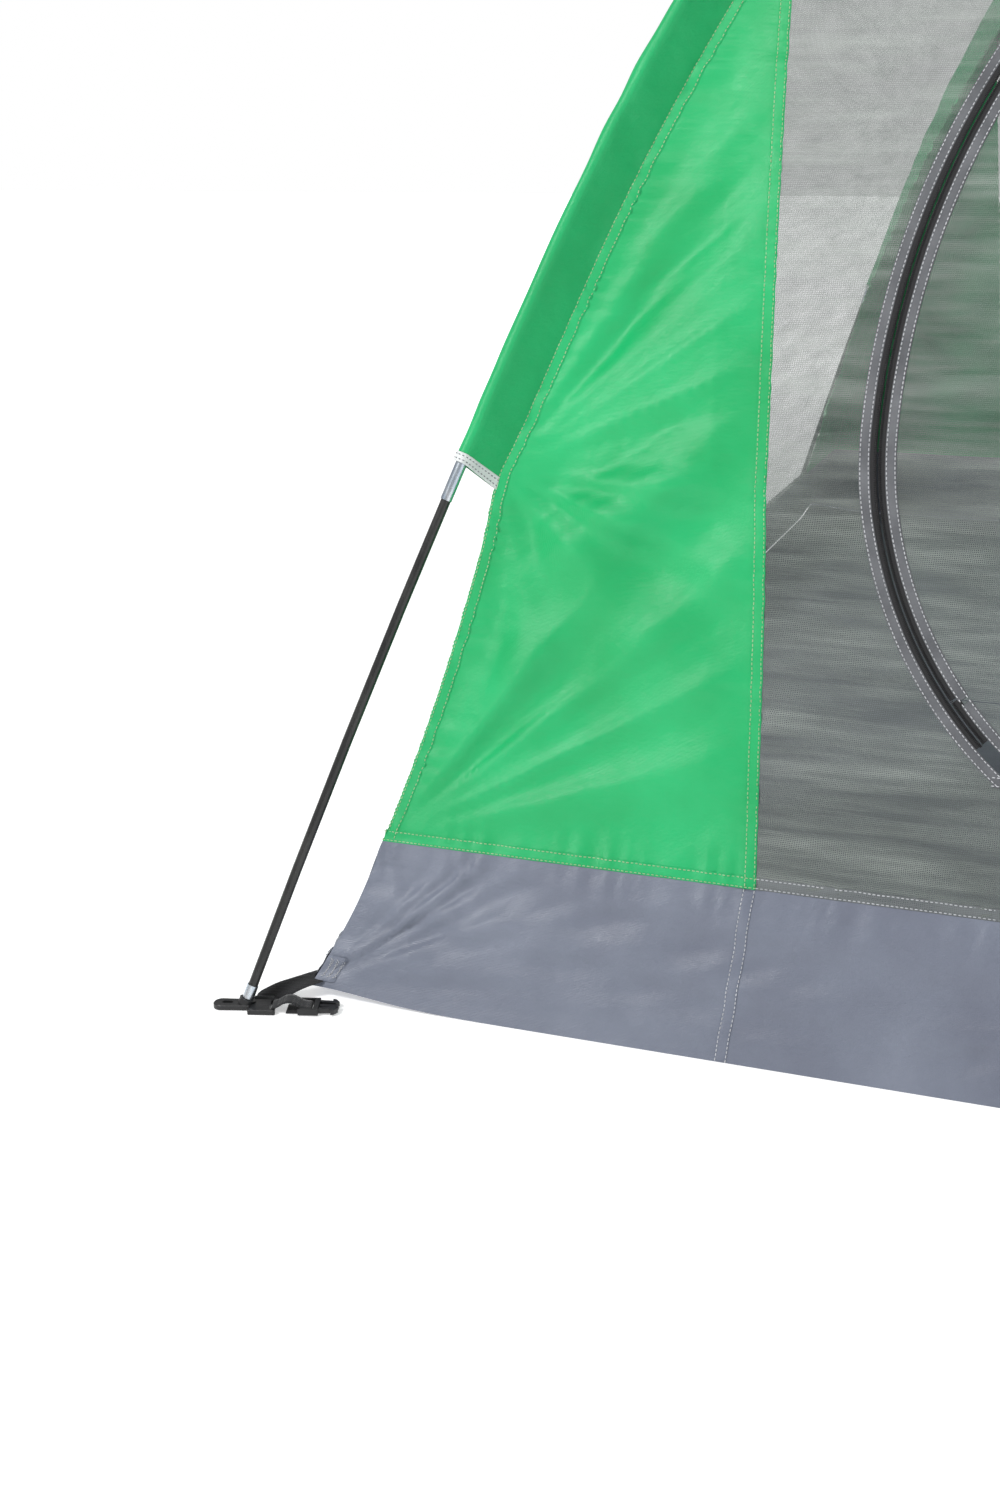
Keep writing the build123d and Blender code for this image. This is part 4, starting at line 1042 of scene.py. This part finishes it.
def sleeve_grid(corner, low, high, lift=0.0, spacing=0.008):
    """Points of a sleeve between two distances along its pole."""
    pole, (sx, sy) = pole_of[corner], corner_signs[corner]
    length = spread(low, high, spacing)
    s, z, angle = pole.at(length)
    arris = np.hypot(s[:, None] - PROFILE[None, :, 0], z[:, None] - PROFILE[None, :, 1])
    depth = np.maximum(arris.min(axis=1), SLEEVE_RADIUS * 1.5)
    section = np.stack([sleeve_outline(d) for d in depth])
    down, side = section[..., 0], section[..., 1]
    share = np.clip(down / depth[:, None], 0, 1)
    mouth = pole.length_at(MOUTH_HEIGHT + BINDING_BAND)
    at = length[:, None] - MOUTH_SLANT * share * near(length - mouth, 0.03)[:, None]
    s, z, angle = pole.at(at)
    seed = sx * 1.7 + sy * 0.9
    tug = ripple(at - 0.5 * down, SLEEVE_PUCKERS, seed) * share ** 2 * (1 - share) * 4
    tug += ripple(at + 0.9 * down, SLEEVE_FOLDS, seed + 3) * (1 - share * 0.4)
    tug += ripple(at, SLEEVE_WAVER, seed + 5)
    tug = tug * (share < 0.999) + lift
    swell = np.sign(side) * (tug * share + np.abs(side) / SLEEVE_RADIUS * tug * (1 - share))
    outward = -down + tug * (1 - share) * (down < 0)
    wide = side + swell
    s = s + np.cos(angle) * outward
    z = z + np.sin(angle) * outward
    along, across = (sx * WIDTH_SHARE, sy * DEPTH_SHARE), (-sx * DEPTH_SHARE, sy * WIDTH_SHARE)
    return np.stack([along[0] * s + across[0] * wide, along[1] * s + across[1] * wide, z],
                    axis=-1)


binding_parts = []
for corner, pole in pole_of.items():
    mouth = pole.length_at(MOUTH_HEIGHT + BINDING_BAND)
    end = pole.half_length - SLEEVE_END
    grid = sleeve_grid(corner, mouth, end, spacing=0.006 if corner == "front_left" else 0.009)
    sleeve = grid_object(f"{corner}_sleeve_cloth", grid, sleeve_green_painted_shade, "tent_body")
    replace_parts(sleeve, f"{corner}_sleeve")
    for low, high in ((mouth - BAND_OVERLAP, mouth + BINDING_BAND),
                      (end - BINDING_BAND, end + BAND_OVERLAP)):
        outer = sleeve_grid(corner, low, high, BAND_OUTSIDE, BAND_STEP)
        inner = sleeve_grid(corner, low, high, -BAND_INSIDE, BAND_STEP)
        binding_parts.append(np.concatenate([inner[:1], outer, inner[-1:]]))
        for row in (2, len(outer) - 3):
            at = distances(outer[row])
            marks = spread(2 * CLEAR, at[-1] - 2 * CLEAR, STITCH_PITCH)
            centres = points_at(marks, at, outer[row])
            ahead = unit(np.gradient(centres, axis=0))
            up = unit(np.cross(ahead, points_at(marks, at, outer[row + 1] - outer[row - 1])))
            dark.add(*beads(centres + up * 0.0002, ahead, up, STITCH_LENGTH * 0.8,
                            THREAD * 1.6, THREAD))

bindings, faces, count = [], [], 0
for part in binding_parts:
    bindings.append(part.reshape(-1, 3))
    faces.append(grid_faces(*part.shape[:2]) + count)
    count += len(bindings[-1])
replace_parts(mesh_object("sleeve_end_bindings", np.vstack(bindings), np.vstack(faces), tape_pale,
                        "tent_body"), "sleeve_bindings")


# --- Floor corners: plates, straps and plugs ------------------------------------------------

PLATE_TURN = math.radians(17)
FOOT_SHIFT = POLE_FOOT_HEIGHT / math.tan(FOOT_SLOPE)
FOOT_REACH = HALF_DIAGONAL + POLE_FOOT_REACH + FOOT_SHIFT
PLATE_FOOT = FOOT_REACH * np.array([-WIDTH_SHARE, -DEPTH_SHARE])
WEBBING_WIDTH, WEBBING, WEBBING_EDGE = 0.019, 0.0012, 0.0004
RIB_SHARE, RIB_TURN = 0.04, 2.1
BAR_HEIGHT, LOOP_RADIUS = 0.0033, 0.0024
STRAP_X, STRAP_BAR_Y = 0.0176, 0.0117
BUCKLE_BAR_X, BUCKLE_Y = 0.0302, -0.0042
BUCKLE_RUN, STRAP_RISE = 0.034, 0.006
SEWN_HEIGHT, TUCKED_IN = 0.009, 0.005
STRAP_BOW = 0.002
LOOP_POINTS, STRAP_POINTS = 26, 70


def from_plate(points):
    """Points of the front left plate's own frame in the model's frame."""
    turn = np.array([[math.cos(PLATE_TURN), -math.sin(PLATE_TURN)],
                     [math.sin(PLATE_TURN), math.cos(PLATE_TURN)]])
    points = np.asarray(points, float)
    plan = points[..., :2] @ turn.T + PLATE_FOOT
    return np.concatenate([plan, points[..., 2:]], axis=-1)


SOFTENING = 600            # places on a strap's line while its bends are rounded


def smooth_path(points, count):
    """Rounded line through control points, as a spline that eases past each of them."""
    points = np.asarray(points, float)
    line = points_at(np.linspace(0, 1, SOFTENING), np.linspace(0, 1, len(points)), points)
    kernel = np.hanning(SOFTENING // len(points) * 2 - 1)
    kernel /= kernel.sum()
    pad = len(kernel) // 2
    soft = []
    for column in line.T:
        ends = np.concatenate([2 * column[0] - column[pad:0:-1], column,
                               2 * column[-1] - column[-2:-pad - 2:-1]])
        soft.append(np.convolve(ends, kernel, "valid"))
    soft = np.column_stack(soft)
    at = distances(soft)
    return points_at(np.linspace(0, at[-1], count), at, soft)


def strap(name, node, path, across, body, mirror):
    """Flat webbing along a path, with its width along given directions and a ribbed face."""
    ahead = unit(np.gradient(path, axis=0))
    across = unit(across - ahead * (across * ahead).sum(axis=1)[:, None])
    up = np.cross(ahead, across)
    half, thick = WEBBING_WIDTH / 2, WEBBING / 2
    face = [(-half, 0), (-half + WEBBING_EDGE, thick), (-half / 2, thick * 0.9), (0, thick),
            (half / 2, thick * 0.9), (half - WEBBING_EDGE, thick)]
    edge = np.array(face + [(-a, -b) for a, b in face])
    ribs = 1 + RIB_SHARE * np.sin(np.arange(len(path)) * RIB_TURN)[:, None, None]
    grid = (path[:, None] + across[:, None] * edge[None, :, :1]
            + up[:, None] * edge[None, :, 1:] * ribs)
    grid = grid * np.array([*mirror, 1.0])
    made = grid_object(name, grid, webbing, body, closed=True)
    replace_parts(made, node)


def corner_strap_lines():
    """Middle line and width directions of the strap from the plate to the floor's corner."""
    turn = np.linspace(-0.35 * math.pi, 1.45 * math.pi, LOOP_POINTS)
    loop = np.column_stack([np.full(LOOP_POINTS, STRAP_X),
                            STRAP_BAR_Y - LOOP_RADIUS * np.sin(turn),
                            BAR_HEIGHT - LOOP_RADIUS * np.cos(turn)])
    loop = from_plate(loop[::-1])
    out = HALF_DIAGONAL - TUB_LEAN * SEWN_HEIGHT / TUB_HEIGHT - TUCKED_IN
    corner = drawn(np.array([[-out * WIDTH_SHARE, -out * DEPTH_SHARE, SEWN_HEIGHT]]))[0]
    start = loop[-1]
    t = np.linspace(0, 1, 24)[1:, None]
    rise = start + (corner - start) * t + np.array([0, 0, STRAP_BOW]) * np.sin(math.pi * t)
    path = smooth_path(np.vstack([loop, rise]), STRAP_POINTS)
    flat = from_plate([[1, 0, 0]])[0] - from_plate([[0, 0, 0]])[0]
    square = np.array([DEPTH_SHARE, -WIDTH_SHARE, -0.25])
    mix = np.clip((np.linspace(0, 1, STRAP_POINTS) - 0.35) / 0.6, 0, 1)[:, None]
    mix = mix * mix * (3 - 2 * mix)
    return path, flat * (1 - mix) + square * mix


def buckle_strap_line():
    """Middle line of the strap from the plate's rear bar to the plug's bar and back."""
    top = BAR_HEIGHT + LOOP_RADIUS
    end = BUCKLE_BAR_X + BUCKLE_RUN
    turn = np.linspace(0.2, 1.0, 8) * math.pi
    loop = [(BUCKLE_BAR_X - LOOP_RADIUS * math.sin(a), BAR_HEIGHT - LOOP_RADIUS * math.cos(a))
            for a in turn]
    fold = [(end + LOOP_RADIUS * math.sin(a), BAR_HEIGHT + LOOP_RADIUS * math.cos(a))
            for a in np.linspace(0.1, 0.95, 7) * math.pi]
    line = loop + [(BUCKLE_BAR_X + 0.004, top + 0.001),
                   (BUCKLE_BAR_X + 0.009, top + STRAP_RISE * 0.8),
                   (BUCKLE_BAR_X + 0.013, top + STRAP_RISE), (end - 0.016, top + STRAP_RISE),
                   (end - 0.011, top + STRAP_RISE * 0.55), (end - 0.006, top)] + fold
    line += [(end - 0.006, BAR_HEIGHT - LOOP_RADIUS), (end - 0.022, BAR_HEIGHT - LOOP_RADIUS)]
    points = from_plate([(x, BUCKLE_Y, max(z, WEBBING * 0.6)) for x, z in line])
    return smooth_path(points, 90)


def zigzag(wall, sign, corner_lift):
    """Bartack stitches over the tab that covers the end of the corner strap."""
    low, high = wall.ground + 0.012, wall.ground + 0.030
    for offset in (0.006, 0.012, 0.018):
        q = np.linspace(low, high, 13)
        inner = wall.edge(q) - offset - 0.0022 * (np.arange(13) % 2)
        pale.row(wall, np.column_stack([sign * inner, q]), 0.0, corner_lift, 0.0026, 0.0024)


for corner, (sx, sy) in corner_signs.items():
    mirror = (-sx, -sy)
    body = f"{corner}_buckle"
    line, across = corner_strap_lines()
    strap(f"{corner}_corner_webbing", f"{corner}_corner_strap", line, across, "tent_body", mirror)
    line = buckle_strap_line()
    level = from_plate([[0, 1, 0]])[0] - from_plate([[0, 0, 0]])[0]
    strap(f"{corner}_buckle_webbing", f"{corner}_buckle_strap", line,
          np.repeat(level[None], len(line), axis=0), body, mirror)
    front_or_rear, left_or_right = "front" if sy < 0 else "rear", "left" if sx < 0 else "right"
    for side, sign in ((front_or_rear, sx), (left_or_right, sy)):
        wall = walls[side]
        q = spread(wall.ground + 0.007, wall.ground + 0.034, 0.002)
        t = spread(0, 1, 0.1)
        x = sign * (wall.edge(q)[:, None] - 0.0006 - 0.021 * t)
        lift = 0.0013 * np.minimum(1, np.minimum((1 - t) * 8, 1 + t))[None] + 0 * x
        points = wall.place(x, np.repeat(q[:, None], len(t), axis=1), lift)
        grid_object(f"{corner}_corner_tab_{side}", points, tub_grey, "tent_body")
        zigzag(wall, sign, 0.0015)

tan.make()
pale.make()
dark.make()
flap_thread.make()


# --- Floor sheet and the CAD parts that stay -------------------------------------------------

FLOOR_STEP = 0.016
floor_low, floor_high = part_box("floor_sheet")
x, y = np.meshgrid(spread(floor_low.x, floor_high.x, FLOOR_STEP),
                   spread(floor_low.y, floor_high.y, FLOOR_STEP))
inside = np.minimum(np.minimum(x - floor_low.x, floor_high.x - x),
                    np.minimum(y - floor_low.y, floor_high.y - y))
ridges = (0.0035 * wave(x * 0.8 + y * 0.6, 0.31, 1.0) * wave(y - 0.3 * x, 0.47, 2.0)
          + 0.0025 * wave(x * 0.5 - y * 0.9, 0.17, 4.0) * wave(x + y, 0.7, 5.0))
z = floor_low.z + 0.0004 + np.maximum(ridges, 0) * np.clip(inside / 0.06, 0, 1)
grid = drawn(np.column_stack([x.ravel(), y.ravel(), z.ravel()]))
floor = mesh_object("floor_sheet_cloth", grid, grid_faces(*x.shape), floor_grey, "tent_body")
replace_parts(floor, "floor_sheet")

finishes = {
    "sections": (rod_black, "pole_rod", 0), "ferrules": (steel, "pole_steel", 0.0004),
    "end_tips": (steel, "pole_steel", 0.0004), "shock_cord": (elastic, "shock_cord", 0),
}
dressed = [(f"pole_{letter}_{part}", *finish) for letter in "ab"
           for part, finish in finishes.items()]
dressed += [(f"{corner}_{part}", plastic, "black_plastic", bevel)
            for part, bevel in (("corner_plate", 0.0006), ("buckle_plug", 0.0005))
            for corner in corner_signs]
dressed += [("zipper_slider", dark_metal, "slider_metal", 0.0004),
            ("zipper_pull_outside", dark_metal, "slider_metal", 0.0003),
            ("zipper_pull_inside", dark_metal, "slider_metal", 0.0003),
            ("crossing_tie", webbing, "black_webbing", 0.0003)]
for node, material, slot, bevel in dressed:
    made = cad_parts[node]
    made.data.materials.clear()
    made.data.materials.append(material)
    if bevel:
        edge = made.modifiers.new("soft_edges", "BEVEL")
        edge.width, edge.segments, edge.limit_method = bevel, 2, "ANGLE"
        edge.angle_limit = math.radians(35)
        edge.use_clamp_overlap = True


# --- Floor, light and camera ------------------------------------------------------------------

GLOW_NEAR, GLOW_FAR = 0.42, 1.0      # the floor turns plain white further off
SKY_LIGHT, SKY_SEEN = 0.50, 1.0      # strength as a light, and as the camera sees it

ground = Nodes("studio_floor")
shade = ground.ramp(ground.noise(1.5), [(0.3, (0.88, 0.88, 0.88)), (0.7, (0.90, 0.90, 0.90))])
ground.shader.inputs["Emission Color"].default_value = (1, 1, 1, 1)
away = ground.node("ShaderNodeVectorMath", operation="LENGTH")
ground.link(ground.place, away.inputs[0])
ground.link(ground.between(away.outputs["Value"], GLOW_NEAR, GLOW_FAR, start=2.2, end=5.0),
            ground.shader.inputs["Emission Strength"])
ground.finish(shade, ground.between(ground.noise(30.0), 0.85, 0.95),
              ground.bump(ground.noise(200.0), 0.05, 0.001))
plane = bpy.data.meshes.new("studio_floor")
FLOOR_REACH, FLOOR_LEVEL = 40.0, -0.0005
plane.from_pydata([(sx * FLOOR_REACH, sy * FLOOR_REACH, FLOOR_LEVEL)
                   for sx, sy in ((-1, -1), (1, -1), (1, 1), (-1, 1))], [], [(0, 1, 2, 3)])
plane.materials.append(ground.material)
backdrop = bpy.data.objects.new("studio_floor", plane)
bpy.context.scene.collection.objects.link(backdrop)

scene = bpy.context.scene
scene.view_settings.view_transform = "Standard"
world = bpy.data.worlds.new("studio")
scene.world = world
world.use_nodes = True
background = world.node_tree.nodes["Background"]
background.inputs["Color"].default_value = (1, 1, 1, 1)
seen = world.node_tree.nodes.new("ShaderNodeLightPath")
level = world.node_tree.nodes.new("ShaderNodeMapRange")
level.inputs["To Min"].default_value = SKY_LIGHT
level.inputs["To Max"].default_value = SKY_SEEN
world.node_tree.links.new(seen.outputs["Is Camera Ray"], level.inputs["Value"])
world.node_tree.links.new(level.outputs["Result"], background.inputs["Strength"])


def soft_light(name, place, target, size, power):
    """Square area light at a place, facing a target."""
    light = bpy.data.lights.new(name, "AREA")
    light.shape, light.size, light.energy = "SQUARE", size, power
    made = bpy.data.objects.new(name, light)
    made.location = place
    made.rotation_mode = "QUATERNION"
    made.rotation_quaternion = (Vector(target) - Vector(place)).to_track_quat("-Z", "Y")
    scene.collection.objects.link(made)


soft_light("key", (-3.6, -4.6, 4.4), (-0.6, -0.9, 0.5), 1.2, 210)
soft_light("fill", (4.5, -3.5, 3.5), (0.3, -0.6, 0.5), 3.0, 50)
soft_light("back", (1.5, 5.0, 4.0), (0, 0, 0.6), 3.0, 60)

camera = bpy.data.cameras.new("camera")
camera.lens, camera.sensor_width, camera.sensor_fit = 42.8, 36.0, "AUTO"
viewer = bpy.data.objects.new("camera", camera)
viewer.location = (-0.813, -2.813, 0.783)
camera_right = Vector((0.94217, 0.33512, 0.0))
camera_up = Vector((-0.10523, 0.29584, 0.94943))
camera_ahead = Vector((-0.31817, 0.89452, -0.31399))
turned = Matrix((camera_right, camera_up, -camera_ahead)).transposed()
viewer.matrix_world = Matrix.Translation(viewer.location) @ turned.to_4x4()
scene.collection.objects.link(viewer)
scene.camera = viewer
